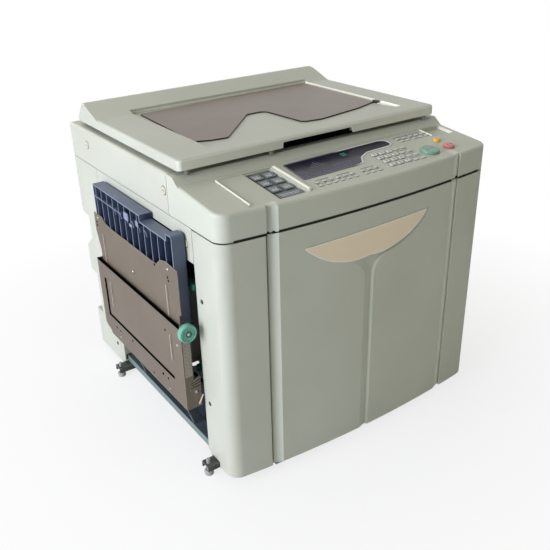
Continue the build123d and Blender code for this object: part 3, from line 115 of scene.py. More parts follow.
world = bpy.data.worlds.new("studio")
bpy.context.scene.world = world
world.use_nodes = True
tree = world.node_tree
ambient = tree.nodes["Background"]
ambient.inputs["Color"].default_value = (1.0, 0.98, 0.88, 1)
ambient.inputs["Strength"].default_value = 0.17
backdrop = tree.nodes.new("ShaderNodeBackground")
backdrop.inputs["Color"].default_value = (1, 1, 1, 1)
backdrop.inputs["Strength"].default_value = 1.0
rays = tree.nodes.new("ShaderNodeLightPath").outputs
seen = joined(tree, rays["Is Camera Ray"], rays["Is Transmission Ray"], "MAXIMUM")
seen = joined(tree, seen, rays["Is Glossy Ray"], "MAXIMUM")
blended(tree, seen, ambient, backdrop, "World Output")

for lamp_name, place, target, size, power, colour in (
    ("feed_side_lamp", (-3.4, -0.3, 1.3), (0, 0, 0.35), 2.0, 156, (0.81, 0.85, 1.0)),
    ("overhead_lamp", (-0.4, 0.9, 3.2), (0, 0, 0.5), 2.6, 29, (1.0, 0.975, 0.94)),
    ("operator_lamp", (1.6, -3.1, 1.3), (0, 0, 0.3), 2.2, 14, (1.0, 0.98, 0.92)),
):
    lamp_data = bpy.data.lights.new(lamp_name, "AREA")
    lamp_data.shape = "SQUARE"
    lamp_data.size = size
    lamp_data.energy = power
    lamp_data.color = colour
    lamp = bpy.data.objects.new(lamp_name, lamp_data)
    lamp.location = place
    aim = Vector(target) - Vector(place)
    lamp.rotation_euler = aim.to_track_quat("-Z", "Y").to_euler()
    bpy.context.collection.objects.link(lamp)

scene = bpy.context.scene
scene.view_settings.view_transform = "Standard"
camera_data = bpy.data.cameras.new("photo_view")
camera_data.sensor_width = 36
camera_data.lens = 46.69
camera_data.shift_x = 0.0317
camera_data.shift_y = 0.0024
camera_data.clip_end = 60
camera = bpy.data.objects.new("photo_view", camera_data)
camera.location = (-0.84359, -1.24463, 0.99692)
camera.rotation_mode = "QUATERNION"
camera.rotation_quaternion = (0.812295, 0.506262, -0.138066, -0.254584)
bpy.context.collection.objects.link(camera)
scene.camera = camera

# Outer mouldings: warm grey-green ABS covers, injection moulded with a fine spark-eroded grain,
# slightly uneven in tone, with a little dust where they face up. They clip onto the steel frame.


def new_group(name, inputs, outputs):
    """Empty shader group with named value inputs and outputs."""
    group = bpy.data.node_groups.new(name, "ShaderNodeTree")
    for label, default in inputs:
        socket = group.interface.new_socket(label, in_out="INPUT", socket_type="NodeSocketFloat")
        socket.default_value = default
    for label in outputs:
        group.interface.new_socket(label, in_out="OUTPUT", socket_type="NodeSocketFloat")
    entry = group.nodes.new("NodeGroupInput")
    leave = group.nodes.new("NodeGroupOutput")
    return group, entry, leave


def scaled_noise(group, entry, scale_label, detail, roughness=0.5):
    """Noise on object coordinates, with its scale wired to one of the group's inputs."""
    place = group.nodes.new("ShaderNodeTexCoord")
    noise = group.nodes.new("ShaderNodeTexNoise")
    noise.inputs["Detail"].default_value = detail
    noise.inputs["Roughness"].default_value = roughness
    wire(group, place.outputs["Object"], noise.inputs["Vector"])
    wire(group, entry.outputs[scale_label], noise.inputs["Scale"])
    return noise


def facing(tree, axis, start, end):
    """Mask that rises from 0 to 1 as the face's normal turns from start to end along an axis."""
    geometry = tree.nodes.new("ShaderNodeNewGeometry")
    split = tree.nodes.new("ShaderNodeSeparateXYZ")
    wire(tree, geometry.outputs["Normal"], split.inputs[0])
    return band(tree, split.outputs[axis], start, end)


# Moulding grain: height of the fine texture, and a slow drift in tone
grain_group, entry, leave = new_group(
    "moulding_grain", (("Grain scale", 900.0), ("Drift scale", 5.0)), ("Height", "Drift")
)
fine = scaled_noise(grain_group, entry, "Grain scale", 2.0)
slow = scaled_noise(grain_group, entry, "Drift scale", 3.0, 0.6)
wire(grain_group, fine.outputs["Fac"], leave.inputs["Height"])
wire(grain_group, band(grain_group, slow.outputs["Fac"], 0.3, 0.7), leave.inputs["Drift"])

# Settled dust: only on faces that look up, and patchy
dust_group, entry, leave = new_group("settled_dust", (("Patch scale", 9.0),), ("Mask",))
patches = scaled_noise(dust_group, entry, "Patch scale", 6.0, 0.65)
patchy = band(dust_group, patches.outputs["Fac"], 0.42, 0.7)
dusty = joined(dust_group, facing(dust_group, "Z", 0.6, 1.0), patchy)
wire(dust_group, dusty, leave.inputs["Mask"])

# Scuffs: thin broken streaks from handling
scuff_group, entry, leave = new_group("handling_scuffs", (("Streak scale", 30.0),), ("Mask",))
place = scuff_group.nodes.new("ShaderNodeTexCoord")
stretch = scuff_group.nodes.new("ShaderNodeMapping")
stretch.inputs["Scale"].default_value = (1.0, 1.0, 0.12)
stretch.inputs["Rotation"].default_value = (0.5, 0.3, 0.2)
streaks = scuff_group.nodes.new("ShaderNodeTexNoise")
streaks.inputs["Detail"].default_value = 8.0
streaks.inputs["Roughness"].default_value = 0.7
wire(scuff_group, place.outputs["Object"], stretch.inputs["Vector"])
wire(scuff_group, stretch.outputs["Vector"], streaks.inputs["Vector"])
wire(scuff_group, entry.outputs["Streak scale"], streaks.inputs["Scale"])
wire(scuff_group, band(scuff_group, streaks.outputs["Fac"], 0.64, 0.72), leave.inputs["Mask"])

# Worn edges: how far the rounded normal leaves the face's own, broken up by noise
wear_group, entry, leave = new_group(
    "worn_edges", (("Width", 0.0015), ("Break scale", 60.0)), ("Mask",)
)
rounded = wear_group.nodes.new("ShaderNodeBevel")
rounded.samples = 6
flat = wear_group.nodes.new("ShaderNodeNewGeometry")
agree = wear_group.nodes.new("ShaderNodeVectorMath")
agree.operation = "DOT_PRODUCT"
wire(wear_group, entry.outputs["Width"], rounded.inputs["Radius"])
wire(wear_group, rounded.outputs["Normal"], agree.inputs[0])
wire(wear_group, flat.outputs["Normal"], agree.inputs[1])
leaving = band(wear_group, agree.outputs["Value"], 0.985, 0.9)
chips = scaled_noise(wear_group, entry, "Break scale", 4.0, 0.6)
broken = band(wear_group, chips.outputs["Fac"], 0.35, 0.6, 0.4, 1.0)
wire(wear_group, joined(wear_group, leaving, broken), leave.inputs["Mask"])

# Zones: 0 before and 1 past a place along one axis of the object
zone_groups = {}
for axis in "XYZ":
    zone_group, entry, leave = new_group(f"zone_{axis}", (("From", 0.0), ("To", 1.0)), ("Mask",))
    place = zone_group.nodes.new("ShaderNodeTexCoord")
    along = zone_group.nodes.new("ShaderNodeSeparateXYZ")
    spread = zone_group.nodes.new("ShaderNodeMapRange")
    wire(zone_group, place.outputs["Object"], along.inputs[0])
    wire(zone_group, along.outputs[axis], spread.inputs["Value"])
    wire(zone_group, entry.outputs["From"], spread.inputs["From Min"])
    wire(zone_group, entry.outputs["To"], spread.inputs["From Max"])
    wire(zone_group, spread.outputs["Result"], leave.inputs["Mask"])
    zone_groups[axis] = zone_group


def place_group(tree, group, **values):
    """Puts a shader group in a material, with its own values on its inputs."""
    box = tree.nodes.new("ShaderNodeGroup")
    box.node_tree = group
    for label, value in values.items():
        box.inputs[label.replace("_", " ")].default_value = value
    return box


def mixed(tree, mask, first, second):
    """Colour that goes from first to second by the mask; each a socket or eight-bit values."""
    mix = tree.nodes.new("ShaderNodeMix")
    mix.data_type = "RGBA"
    wire(tree, mask, mix.inputs["Factor"])
    for socket, colour in ((mix.inputs["A"], first), (mix.inputs["B"], second)):
        if isinstance(colour, tuple):
            socket.default_value = tone(*colour)
        else:
            wire(tree, colour, socket)
    return mix.outputs["Result"]


def zone(tree, axis, start, end):
    """Mask that rises from 0 to 1 between two places along an axis."""
    return place_group(tree, zone_groups[axis], From=start, To=end).outputs["Mask"]


def relief(tree, texture, marks, smooth, dull, strength, depth, round_edge):
    """Scuffs in the roughness, and a fine bump on edges that are rounded for the light."""
    surface = tree.nodes["Principled BSDF"]
    rough = band(tree, marks.outputs["Mask"], 0.0, 1.0, smooth, dull)
    wire(tree, rough, surface.inputs["Roughness"])
    bump = tree.nodes.new("ShaderNodeBump")
    bump.inputs["Strength"].default_value = strength
    bump.inputs["Distance"].default_value = depth
    wire(tree, texture.outputs["Height"], bump.inputs["Height"])
    if round_edge:
        edge = tree.nodes.new("ShaderNodeBevel")
        edge.samples = 4
        edge.inputs["Radius"].default_value = round_edge
        wire(tree, edge.outputs["Normal"], bump.inputs["Normal"])
    wire(tree, bump.outputs["Normal"], surface.inputs["Normal"])


def plastic(
    name,
    colour,
    deep,
    roughness=0.42,
    grain=900.0,
    depth=0.00004,
    dust=0.12,
    round_edge=0.0012,
    worn=None,
    patches=None,
    shine=0.5,
):
    """Moulded plastic: tone drift, grain, dust, scuffs and edges rounded for the light."""
    material = bpy.data.materials.new(name)
    material.use_nodes = True
    tree = material.node_tree
    surface = tree.nodes["Principled BSDF"]
    surface.inputs["Specular IOR Level"].default_value = shine
    texture = place_group(tree, grain_group, Grain_scale=grain)
    base = mixed(tree, texture.outputs["Drift"], colour, deep)
    if patches:
        base = patches(tree, base)
    if worn:
        wear_and_highlight = place_group(tree, wear_group)
        base = mixed(tree, joined(tree, wear_and_highlight.outputs["Mask"], 0.8), base, worn)
    if dust:
        settled = place_group(tree, dust_group)
        base = mixed(tree, joined(tree, settled.outputs["Mask"], dust), base, (196, 190, 176))
    wire(tree, base, surface.inputs["Base Color"])
    marks = place_group(tree, scuff_group)
    relief(tree, texture, marks, roughness, min(1.0, roughness + 0.1), 0.6, depth, round_edge)
    return material


def finish_node(material, *names):
    """Gives these CAD nodes one material."""
    for name in names:
        for held in nodes[name].material_slots:
            held.material = material


def flute_painted_highlight(tree, base):
    """Painted highlight: the right walls of the two front flutes, which face the feed-side lamp, are
    made pale.
    """
    for low, high, end in ((-0.229, -0.2105, -0.2092), (0.2105, 0.2225, 0.2315)):
        wear_and_highlight = joined(tree, zone(tree, "X", low, high), zone(tree, "X", end + 0.0006, end))
        wear_and_highlight = joined(tree, wear_and_highlight, zone(tree, "Y", -0.295, -0.3))
        base = mixed(tree, wear_and_highlight, base, (216, 221, 206))
    return base


shell_plastic = plastic("shell_moulding", (191, 193, 176), (184, 186, 169))
# The front moulding carries painted highlight on the right walls of its two flutes.
front_plastic = plastic("front_moulding", (193, 196, 178), (186, 189, 171), patches=flute_painted_highlight)
finish_node(shell_plastic, "column_cover", "left_side_cover", "right_side_cover", "back_cover")
finish_node(shell_plastic, "scanner_housing", "inner_panel", "subpanel_lid")
finish_node(front_plastic, "control_panel", "front_door")

# Steel parts: rails, hinges and pins are bright zinc, the frame plates painted dark. All keep faint
# rolling or turning marks, and the paint has worn through along the plates' edges.


def metal(name, colour, deep, roughness=0.35, metallic=1.0, worn=None, patches=None):
    """Sheet or turned metal, bare or painted, with drawn streaks and a slow change in tone."""
    material = bpy.data.materials.new(name)
    material.use_nodes = True
    tree = material.node_tree
    surface = tree.nodes["Principled BSDF"]
    surface.inputs["Metallic"].default_value = metallic
    texture = place_group(tree, grain_group, Grain_scale=400.0, Drift_scale=8.0)
    base = mixed(tree, texture.outputs["Drift"], colour, deep)
    if patches:
        base = patches(tree, base)
    if worn:
        wear_and_highlight = place_group(tree, wear_group)
        base = mixed(tree, wear_and_highlight.outputs["Mask"], base, worn)
    wire(tree, base, surface.inputs["Base Color"])
    marks = place_group(tree, scuff_group, Streak_scale=60.0)
    relief(tree, texture, marks, roughness, roughness + 0.2, 0.4, 0.00005, 0.0006)
    return material


bright_zinc = metal("bright_zinc", (190, 193, 194), (165, 168, 170))
# The frame plates are dark paint, kept this dark also as painted shade for the inside of the body.
dark_steel = metal("dark_steel", (46, 47, 46), (34, 35, 35), 0.55, worn=(96, 96, 92))
finish_node(bright_zinc, "scan_rails", "door_hinge", "cover_hinges", "tray_hinges")
finish_node(dark_steel, "rear_frame_plate", "front_frame_plate")

# Base: a pressed pan in slate paint, its outer lip made paler as painted highlight, on two dark steel
# channels that end in levelling feet. Each foot has a zinc stem through the channel and a rubber pad
# under it.


def pan_lip_highlight(tree, base):
    """Painted highlight: paler colour on the pan's outer lip, which faces the feed-side lamp."""
    return mixed(tree, zone(tree, "X", -0.3135, -0.3139), base, (114, 130, 124))


def foot_zones(tree, base):
    """Zinc on the stem, rubber below it."""
    return mixed(tree, zone(tree, "Z", 0.0105, 0.011), base, (150, 152, 150))


pan_paint = metal("pan_paint", (74, 86, 92), (62, 74, 80), 0.5, metallic=0.0, patches=pan_lip_highlight)
channel_paint = metal(
    "channel_paint", (72, 76, 70), (56, 60, 54), 0.45, metallic=0.0, worn=(150, 152, 146)
)
foot_rubber = plastic(
    "foot_rubber", (176, 176, 166), (142, 142, 132), 0.6, dust=0.3, patches=foot_zones
)
finish_node(pan_paint, "base_pan")
finish_node(channel_paint, "foot_channels")
finish_node(foot_rubber, "foot_front_left", "foot_front_right", "foot_rear_left", "foot_rear_right")

# Fixings: pan-head screws with a cross recess hold the covers, and slotted caps close the larger
# holes. The screws are blackened steel in dark rings, the caps are moulded in a creamier plastic.


def turned(profile, steps=40):
    """Lathe form about Z from a profile of radius and height."""
    shape = bmesh.new()
    corners = [shape.verts.new((radius, 0, height)) for radius, height in profile]
    runs = [shape.edges.new(pair) for pair in zip(corners, corners[1:])]
    bmesh.ops.spin(
        shape, geom=corners + runs, axis=(0, 0, 1), angle=math.tau, steps=steps, use_merge=True
    )
    bmesh.ops.remove_doubles(shape, verts=shape.verts, dist=1e-6)
    bmesh.ops.recalc_face_normals(shape, faces=shape.faces)
    return shape


def aimed(place, direction=(0, 0, 1)):
    """Matrix that stands a piece made along Z at this place, facing this way."""
    turn = Vector(direction).to_track_quat("Z", "Y").to_matrix().to_4x4()
    return Matrix.Translation(Vector(place)) @ turn


def set_in(target, shape, place):
    """Adds a copy of a small shape to a larger one."""
    scratch = bpy.data.meshes.new("scratch")
    shape.to_mesh(scratch)
    scratch.transform(place)
    target.from_mesh(scratch)
    bpy.data.meshes.remove(scratch)


def slab(target, middle, size):
    """Adds a block of this size about this middle."""
    place = Matrix.Translation(middle) @ Matrix.Diagonal((*size, 1))
    bmesh.ops.create_cube(target, size=1, matrix=place)


def drawn_out(shape, extruded, vec):
    """Moves what an extrusion has just made."""
    corners = [item for item in extruded["geom"] if isinstance(item, bmesh.types.BMVert)]
    bmesh.ops.translate(shape, vec=vec, verts=corners)


def finish_piece(shape, name, body, *finishes, place=None):
    """Makes the shape, set in its place, a piece of the object that moves with this body."""
    if place is not None:
        bmesh.ops.transform(shape, matrix=place, verts=shape.verts)
    data = bpy.data.meshes.new(name)
    shape.to_mesh(data)
    shape.free()
    for finish in finishes:
        data.materials.append(finish)
    data.shade_smooth()
    data.set_sharp_from_angle(angle=math.radians(35))
    piece = bpy.data.objects.new(name, data)
    bpy.context.collection.objects.link(piece)
    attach(piece, body)
    return piece


def cross_screw(radius, height):
    """Pan head standing on z = 0, with a cross recess."""
    dome = ((0, height), (0.16 * radius, height), (0.6 * radius, 0.96 * height))
    side = ((0.86 * radius, 0.74 * height), (radius, 0.3 * height), (radius, 0), (0, 0))
    shape = turned(dome + side, 16)
    arms = []
    for face in shape.faces:
        middle = face.calc_center_median()
        reach = math.hypot(middle.x, middle.y) / radius
        quarter = math.degrees(math.atan2(middle.y, middle.x)) % 90
        on_arm = reach < 0.12 or (reach < 0.5 and quarter < 22.5)
        if middle.z > 0.9 * height and on_arm:
            arms.append(face)
    drawn_out(shape, bmesh.ops.extrude_face_region(shape, geom=arms), (0, 0, -0.55 * height))
    bmesh.ops.recalc_face_normals(shape, faces=shape.faces)
    return shape


blackened = metal("blackened_screw", (58, 58, 56), (40, 40, 39), 0.35, worn=(170, 170, 166))
zinc_screw = metal("zinc_screw", (178, 178, 172), (150, 150, 146), 0.3)
cap_plastic = plastic("cap_plastic", (200, 196, 168), (192, 188, 160), 0.4)
slot_shade = plastic("slot_shade", (70, 68, 62), (56, 54, 50), 0.6, dust=0.0)

side_x = -0.322
right_side_x = 0.3222
back_screw_y = 0.3333  # the heads sit in the back cover, with only their domes proud of it

cap = turned(((0, 0.0014), (0.0062, 0.0014), (0.0078, 0.0009), (0.0082, -0.0008), (0, -0.0008)), 36)
groove = turned(((0, 0.0003), (0.0092, 0.0003), (0.0094, -0.0006), (0, -0.0006)), 36)
slot = bmesh.new()
slab(slot, (0, 0, 0), (0.0012, 0.0092, 0.0016))
for face in groove.faces[:] + slot.faces[:]:
    face.material_index = 1
caps = bmesh.new()
for cap_y, cap_z in ((0.241, 0.564), (-0.128, 0.563), (-0.198, 0.484)):
    outward = aimed((side_x, cap_y, cap_z), (-1, 0, 0))
    set_in(caps, groove, outward)
    set_in(caps, cap, outward)
    set_in(caps, slot, Matrix.Translation((side_x - 0.0008, cap_y, cap_z)))
cap.free()
groove.free()
slot.free()
cover_caps = finish_piece(caps, "cover_caps", "machine", cap_plastic, slot_shade)
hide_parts("screw_caps")

head = cross_screw(0.0034, 0.0018)
ring = turned(
    ((0.0033, 0.0006), (0.0044, 0.0006), (0.0048, 0.0), (0.0048, -0.0006), (0.0033, -0.0006)), 28
)
bmesh.ops.contextual_create(ring, geom=[edge for edge in ring.edges if edge.is_boundary])
side_screws = bmesh.new()
screw_rings = bmesh.new()
for screw_y, screw_z in ((-0.243, 0.384), (-0.2437, 0.1595), (0.2243, 0.0624)):
    set_in(side_screws, head, aimed((side_x - 0.0002, screw_y, screw_z), (-1, 0, 0)))
    set_in(screw_rings, ring, aimed((side_x, screw_y, screw_z), (-1, 0, 0)))
for screw_y in (-0.13, 0.16):
    for screw_z in (0.075, 0.506):
        set_in(side_screws, head, aimed((right_side_x, screw_y, screw_z), (1, 0, 0)))
back_screws = bmesh.new()
for screw_x in (-0.3, -0.1, 0.1, 0.3):
    for screw_z in (0.055, 0.508):
        set_in(back_screws, head, aimed((screw_x, back_screw_y, screw_z), (0, 1, 0)))
head.free()
ring.free()
finish_piece(side_screws, "side_cover_screws", "machine", blackened)
finish_piece(screw_rings, "side_screw_rings", "machine", slot_shade)
finish_piece(back_screws, "back_cover_screws", "machine", zinc_screw)

# Seam shadow: a dark strip of painted shade under the panel's bowed front edge, over the gap of the
# door, through both flutes and down the gap beside the door. Below it the door's top edge has a thin
# pale strip of painted highlight.

bow_radius = 2.6021  # of the front of the door and the panel, in plan
bow_front = -0.335
strip_low = 0.5172
strip_high = 0.522


def bowed(x):
    """How far back the bowed front stands at this x."""
    return bow_front + bow_radius - math.sqrt(bow_radius**2 - x**2)


def edges_along(shape, axis, least):
    """Edges that run further than least along the axis, 0 for X to 2 for Z."""
    return [
        edge for edge in shape.edges if abs(edge.verts[0].co[axis] - edge.verts[1].co[axis]) > least
    ]


def bowed_strip(target, x_from, x_to, z_from, z_to, proud, thick):
    """Strip that follows the bowed front, standing this far proud of it."""
    strip = bmesh.new()
    middle = ((x_from + x_to) / 2, thick / 2 - proud, (z_from + z_to) / 2)
    slab(strip, middle, (x_to - x_from, thick, z_to - z_from))
    long_edges = edges_along(strip, 0, 0.02)
    bmesh.ops.subdivide_edges(strip, edges=long_edges, cuts=20, use_grid_fill=True)
    for corner in strip.verts:
        corner.co.y += bowed(corner.co.x)
    set_in(target, strip, Matrix.Identity(4))
    strip.free()


# Near-black, painted shade for the gaps over and beside the door.
seam_shade_black = plastic(
    "seam_shade_black", (44, 46, 36), (34, 36, 28), 0.9, 1500.0, dust=0.0, round_edge=0.0, shine=0.1
)
seam_shadow_strip = bmesh.new()
for start, end, proud in (
    (-0.2945, -0.2325, 0.0003),
    (-0.2085, 0.2085, 0.0003),
    (0.2325, 0.2945, 0.0003),
    (-0.2322, -0.2195, -0.0045),
    (-0.2195, -0.2085, -0.0018),
    (0.2085, 0.2322, -0.0045),
):
    bowed_strip(seam_shadow_strip, start, end, strip_low, strip_high, proud, 0.003)
slab(seam_shadow_strip, (-0.2309, -0.3158, 0.272), (0.0022, 0.0076, 0.489))
finish_piece(seam_shadow_strip, "panel_seam_shadow", "machine", seam_shade_black)

# Painted highlight: a thin pale strip along the door's rounded top edge.
lip_highlight = plastic("lip_highlight", (214, 217, 200), (206, 209, 192))
door_highlight_strip = bmesh.new()
bowed_strip(door_highlight_strip, -0.208, 0.208, 0.5149, 0.5162, 0.0003, 0.002)
finish_piece(door_highlight_strip, "door_top_highlight", "front_door", lip_highlight)

# Print unit: a perforated steel drum in its green carrier, with rubber rollers on steel shafts.
# Operators take hold of it by the green parts, and a black arm in the feed opening clamps it.


def soften(shape, offset, segments, items=None, affect="EDGES"):
    """Rounds these edges or corners of the shape, or else every edge."""
    bmesh.ops.bevel(
        shape,
        geom=items or shape.edges[:],
        offset=offset,
        segments=segments,
        profile=0.5,
        affect=affect,
        material=-1,
    )


drum_steel = metal("drum_steel", (120, 124, 126), (88, 92, 94), 0.5)
roller_rubber = plastic("roller_rubber", (44, 44, 44), (34, 34, 35), 0.7, 600.0, dust=0.2)
carrier_plastic = plastic("carrier_plastic", (60, 84, 76), (50, 72, 66), 0.45)
dark_plastic = plastic("dark_plastic", (34, 34, 35), (24, 24, 26), 0.4, worn=(70, 70, 70))
release_green = plastic("release_green", (30, 116, 84), (24, 100, 72), 0.35, dust=0.1)
arm_black = plastic("arm_black", (16, 16, 16), (11, 11, 11), 0.7, dust=0.0, shine=0.2)
finish_node(drum_steel, "print_drum")
finish_node(roller_rubber, "pressure_roller", "pickup_roller")
finish_node(carrier_plastic, "drum_carrier")
finish_node(dark_plastic, "power_inlet", "power_switch", "scan_carriage")

release_lever = bmesh.new()
slab(release_lever, (-0.3125, -0.1965, 0.397), (0.018, 0.03, 0.014))
soften(release_lever, 0.004, 4)
finish_piece(release_lever, "paper_release_lever", "machine", release_green)

knob_dish = ((0, 0.0096), (0.0028, 0.0096), (0.00336, 0.0072), (0.00576, 0.0068))
knob_rim = ((0.0068, 0.0084), (0.0076, 0.0076), (0.0076, 0.0008), (0.0068, 0), (0, 0))
finish_piece(
    turned(knob_dish + knob_rim, 36),
    "clamp_knob",
    "machine",
    release_green,
    place=aimed((-0.308, -0.1935, 0.2135), (-1, 0, 0)),
)
finish_piece(
    turned(((0, 0.014), (0.0014, 0.014), (0.0018, 0.013), (0.0018, 0.0), (0, 0)), 20),
    "clamp_stub",
    "machine",
    bright_zinc,
    place=aimed((-0.3135, -0.19, 0.186), (-0.1, -0.1, 1)),
)
clamp_arm = bmesh.new()
slab(clamp_arm, (-0.304, -0.2065, 0.29), (0.012, 0.016, 0.2))
soften(clamp_arm, 0.003, 2)
finish_piece(clamp_arm, "clamp_arm", "machine", arm_black)

# Exposure glass: clear float glass, let in flush with the deck and bedded on its ledge. It is wiped
# clean, with faint smears left by the cloth.

glass = bpy.data.materials.new("exposure_glass")
glass.use_nodes = True
tree = glass.node_tree
surface = tree.nodes["Principled BSDF"]
surface.inputs["Transmission Weight"].default_value = 1.0
surface.inputs["IOR"].default_value = 1.5
smears = place_group(tree, scuff_group, Streak_scale=14.0)
wire(tree, band(tree, smears.outputs["Mask"], 0.0, 1.0, 0.02, 0.12), surface.inputs["Roughness"])
texture = place_group(tree, grain_group, Drift_scale=6.0)
tint = mixed(tree, texture.outputs["Drift"], (226, 240, 234), (218, 234, 228))
wire(tree, tint, surface.inputs["Base Color"])
finish_node(glass, "exposure_glass")

# Original cover: a smoked acrylic sheet lies in the recess of the moulding, sawn along a wave at
# the front, its edges dark with painted shade. Below it is the white foam-backed pad that presses the
# paper, and black sheets of painted shade lie in the notch and along the gap under the lid's front.


def sheet_edge_shade(tree, base):
    """Painted shade: the sheet's edges are made dark, for the light that leaves through them."""
    return mixed(tree, facing(tree, "Z", 0.7, 0.3), base, (44, 34, 30))


def lid_lip_highlight(tree, base):
    """Painted highlight: the lid's front-facing lip is made paler than its top."""
    lip = joined(tree, facing(tree, "Y", -0.3, -0.9), zone(tree, "Y", -0.12, -0.15))
    return mixed(tree, lip, base, (218, 219, 203))


def raised(shape, vec):
    """Gives the shape's flat faces a thickness along vec, closed on both sides."""
    up = bmesh.ops.extrude_face_region(shape, geom=shape.faces[:], use_keep_orig=True)
    drawn_out(shape, up, vec)
    bmesh.ops.recalc_face_normals(shape, faces=shape.faces)


lid_moulding = plastic("lid_moulding", (191, 193, 176), (184, 186, 169), patches=lid_lip_highlight)
smoked_looks = {"depth": 0.00001, "dust": 0.06, "round_edge": 0.0, "shine": 0.35}
smoked_sheet = plastic(
    "smoked_sheet", (110, 94, 78), (103, 87, 71), 0.3, 700.0, patches=sheet_edge_shade, **smoked_looks
)
pad_sheet = plastic("pad_sheet", (238, 238, 234), (230, 230, 226), 0.7, 500.0)
bumper_rubber = plastic("bumper_rubber", (120, 120, 112), (104, 104, 98), 0.6)
# Near-white used as painted highlight: on the recess's right wall, the ridges and the clip pocket's end
# wall.
highlight_white = plastic("highlight_white", (252, 248, 230), (246, 242, 224), 0.35, dust=0.0)
trim_grey = plastic("trim_grey", (226, 228, 212), (218, 220, 204), 0.4, dust=0.0)
# Near-black, painted shade for the notch and the gap under the lid's front.
notch_shade_black = plastic(
    "notch_shade_black", (10, 10, 9), (6, 6, 6), 0.95, 1500.0, dust=0.0, round_edge=0.0, shine=0.0
)
finish_node(lid_moulding, "original_cover")
finish_node(smoked_sheet, "cover_glazing")
finish_node(pad_sheet, "platen_pad")
finish_node(bumper_rubber, "deck_bumpers")

# Pale strips in the recess: painted highlight up its right wall with a wedge at its foot, and a pale
# grey strip behind
end_highlight = bmesh.new()
wedge = ((0.2515, -0.062), (0.2405, -0.062), (0.2385, -0.083), (0.2515, -0.126))
end_highlight.faces.new([end_highlight.verts.new((x, y, 0.6214)) for x, y in wedge])
raised(end_highlight, (0, 0, 0.0006))
slab(end_highlight, (0.2517, 0.04, 0.6237), (0.0008, 0.336, 0.0044))
finish_piece(end_highlight, "recess_end_highlight", "original_cover", highlight_white)
back_trim = bmesh.new()
slab(back_trim, (0.0128, 0.2107, 0.6237), (0.477, 0.0008, 0.0049))
finish_piece(back_trim, "recess_back_trim", "original_cover", trim_grey)

# Painted shade: black sheets in the notch under the lid's front and along the gap beneath it.
notch_shadow_sheets = bmesh.new()
slab(notch_shadow_sheets, (0, -0.1607, 0.6117), (0.168, 0.001, 0.011))
slab(notch_shadow_sheets, (0, -0.1602, 0.6043), (0.612, 0.002, 0.0042))
finish_piece(notch_shadow_sheets, "cover_notch_shadow", "original_cover", notch_shade_black)

# A small dark block at the sheet's right corner: the corner's thickness, made dark also as painted
# shade.
sheet_corner_shade = bmesh.new()
slab(sheet_corner_shade, (0.2435, -0.061, 0.624), (0.009, 0.014, 0.006))
soften(sheet_corner_shade, 0.0012, 2)
finish_piece(sheet_corner_shade, "sheet_corner_shade", "original_cover", dark_plastic)

# Control panel: the sloped face carries a smoked display lens in a pale bezel, a dark well of
# soft keys under a sliding lid, printed key legends, and clear-coated push buttons.

half_body = 0.322
panel_run = 0.1335  # depth of the slope, from the body's front corners to its top edge
panel_tilt = math.atan2(0.0145, panel_run)
panel_place = Matrix.Translation((0, -0.1815, 0.5845)) @ Matrix.Rotation(panel_tilt, 4, "X")
panel_up = panel_place.to_3x3() @ Vector((0, 0, 1))


def on_panel(x, depth, lift=0.0):
    """Place in mm: x off the body's left side, depth behind its front corners, lift above."""
    along = (depth / 1000 - panel_run) / math.cos(panel_tilt)
    return panel_place @ Matrix.Translation((x / 1000 - half_body, along, lift / 1000))


# Where print lies, in mm above the panel: on the display, the well's keys, the others, the buttons
lens_face = 0.52
well_key_face = -2.78
key_face = 2.05
button_face = 6.02


def key_zones(tree, base):
    """The keys in the well, left of the display, are dark grey."""
    return mixed(tree, zone(tree, "X", -0.118, -0.122), base, (104, 110, 110))


def bezel_zones(tree, base):
    """The bezel's left part lies in the shade of its own lip and is darker."""
    return mixed(tree, zone(tree, "X", 0.03, 0.01), base, (92, 92, 96))


def rim_only(shape, width, even=True):
    """Leaves only a rim of this width along the outline of the shape's flat faces."""
    rim = bmesh.ops.inset_region(
        shape, faces=shape.faces[:], thickness=width, use_boundary=True, use_even_offset=even
    )["faces"]
    core = [face for face in shape.faces if face not in rim]
    bmesh.ops.delete(shape, geom=core, context="FACES_ONLY")


lens = plastic("display_lens", (36, 34, 54), (28, 27, 46), 0.18, depth=0.00001, dust=0.04, shine=0.25)
pale_key = plastic("pale_key", (222, 224, 214), (214, 216, 206), 0.4, dust=0.05, worn=(236, 236, 230))
soft_key = plastic("soft_key", (214, 216, 205), (204, 206, 196), 0.55, dust=0.05, patches=key_zones)
bezel_pale = plastic(
    "bezel_pale", (240, 243, 238), (232, 235, 230), 0.35, dust=0.0, patches=bezel_zones
)
ink = plastic("legend_ink", (40, 42, 42), (32, 34, 34), 0.6, dust=0.0, round_edge=0.0)
pale_ink = plastic("pale_legend_ink", (232, 235, 236), (222, 226, 228), 0.6, dust=0.0, round_edge=0.0)
lens_ink = plastic("lens_legend_ink", (120, 118, 142), (104, 102, 128), 0.5, dust=0.0, round_edge=0.0)
well_dark = plastic("well_dark", (84, 90, 92), (76, 82, 84), 0.6, dust=0.1)
# Dark colour for painted shade in the gaps round the keys.
collar_dark = plastic("collar_dark", (70, 72, 64), (60, 62, 56), 0.7, dust=0.0, round_edge=0.0)
lamp_teal = plastic("lamp_teal", (44, 150, 126), (36, 138, 114), 0.3, dust=0.0)
finish_node(lens, "display_window")
finish_node(soft_key, "soft_keys")
finish_node(pale_key, *[name for name in nodes if name.startswith("key_")])
for finish_name, button, colour, deep in (
    ("start_green", "start_button", (124, 166, 142), (114, 156, 132)),
    ("stop_red", "stop_button", (206, 120, 122), (196, 110, 112)),
    ("reset_yellow", "reset_button", (226, 184, 66), (216, 172, 58)),
):
    finish_node(plastic(finish_name, colour, deep, 0.3, dust=0.05), button)

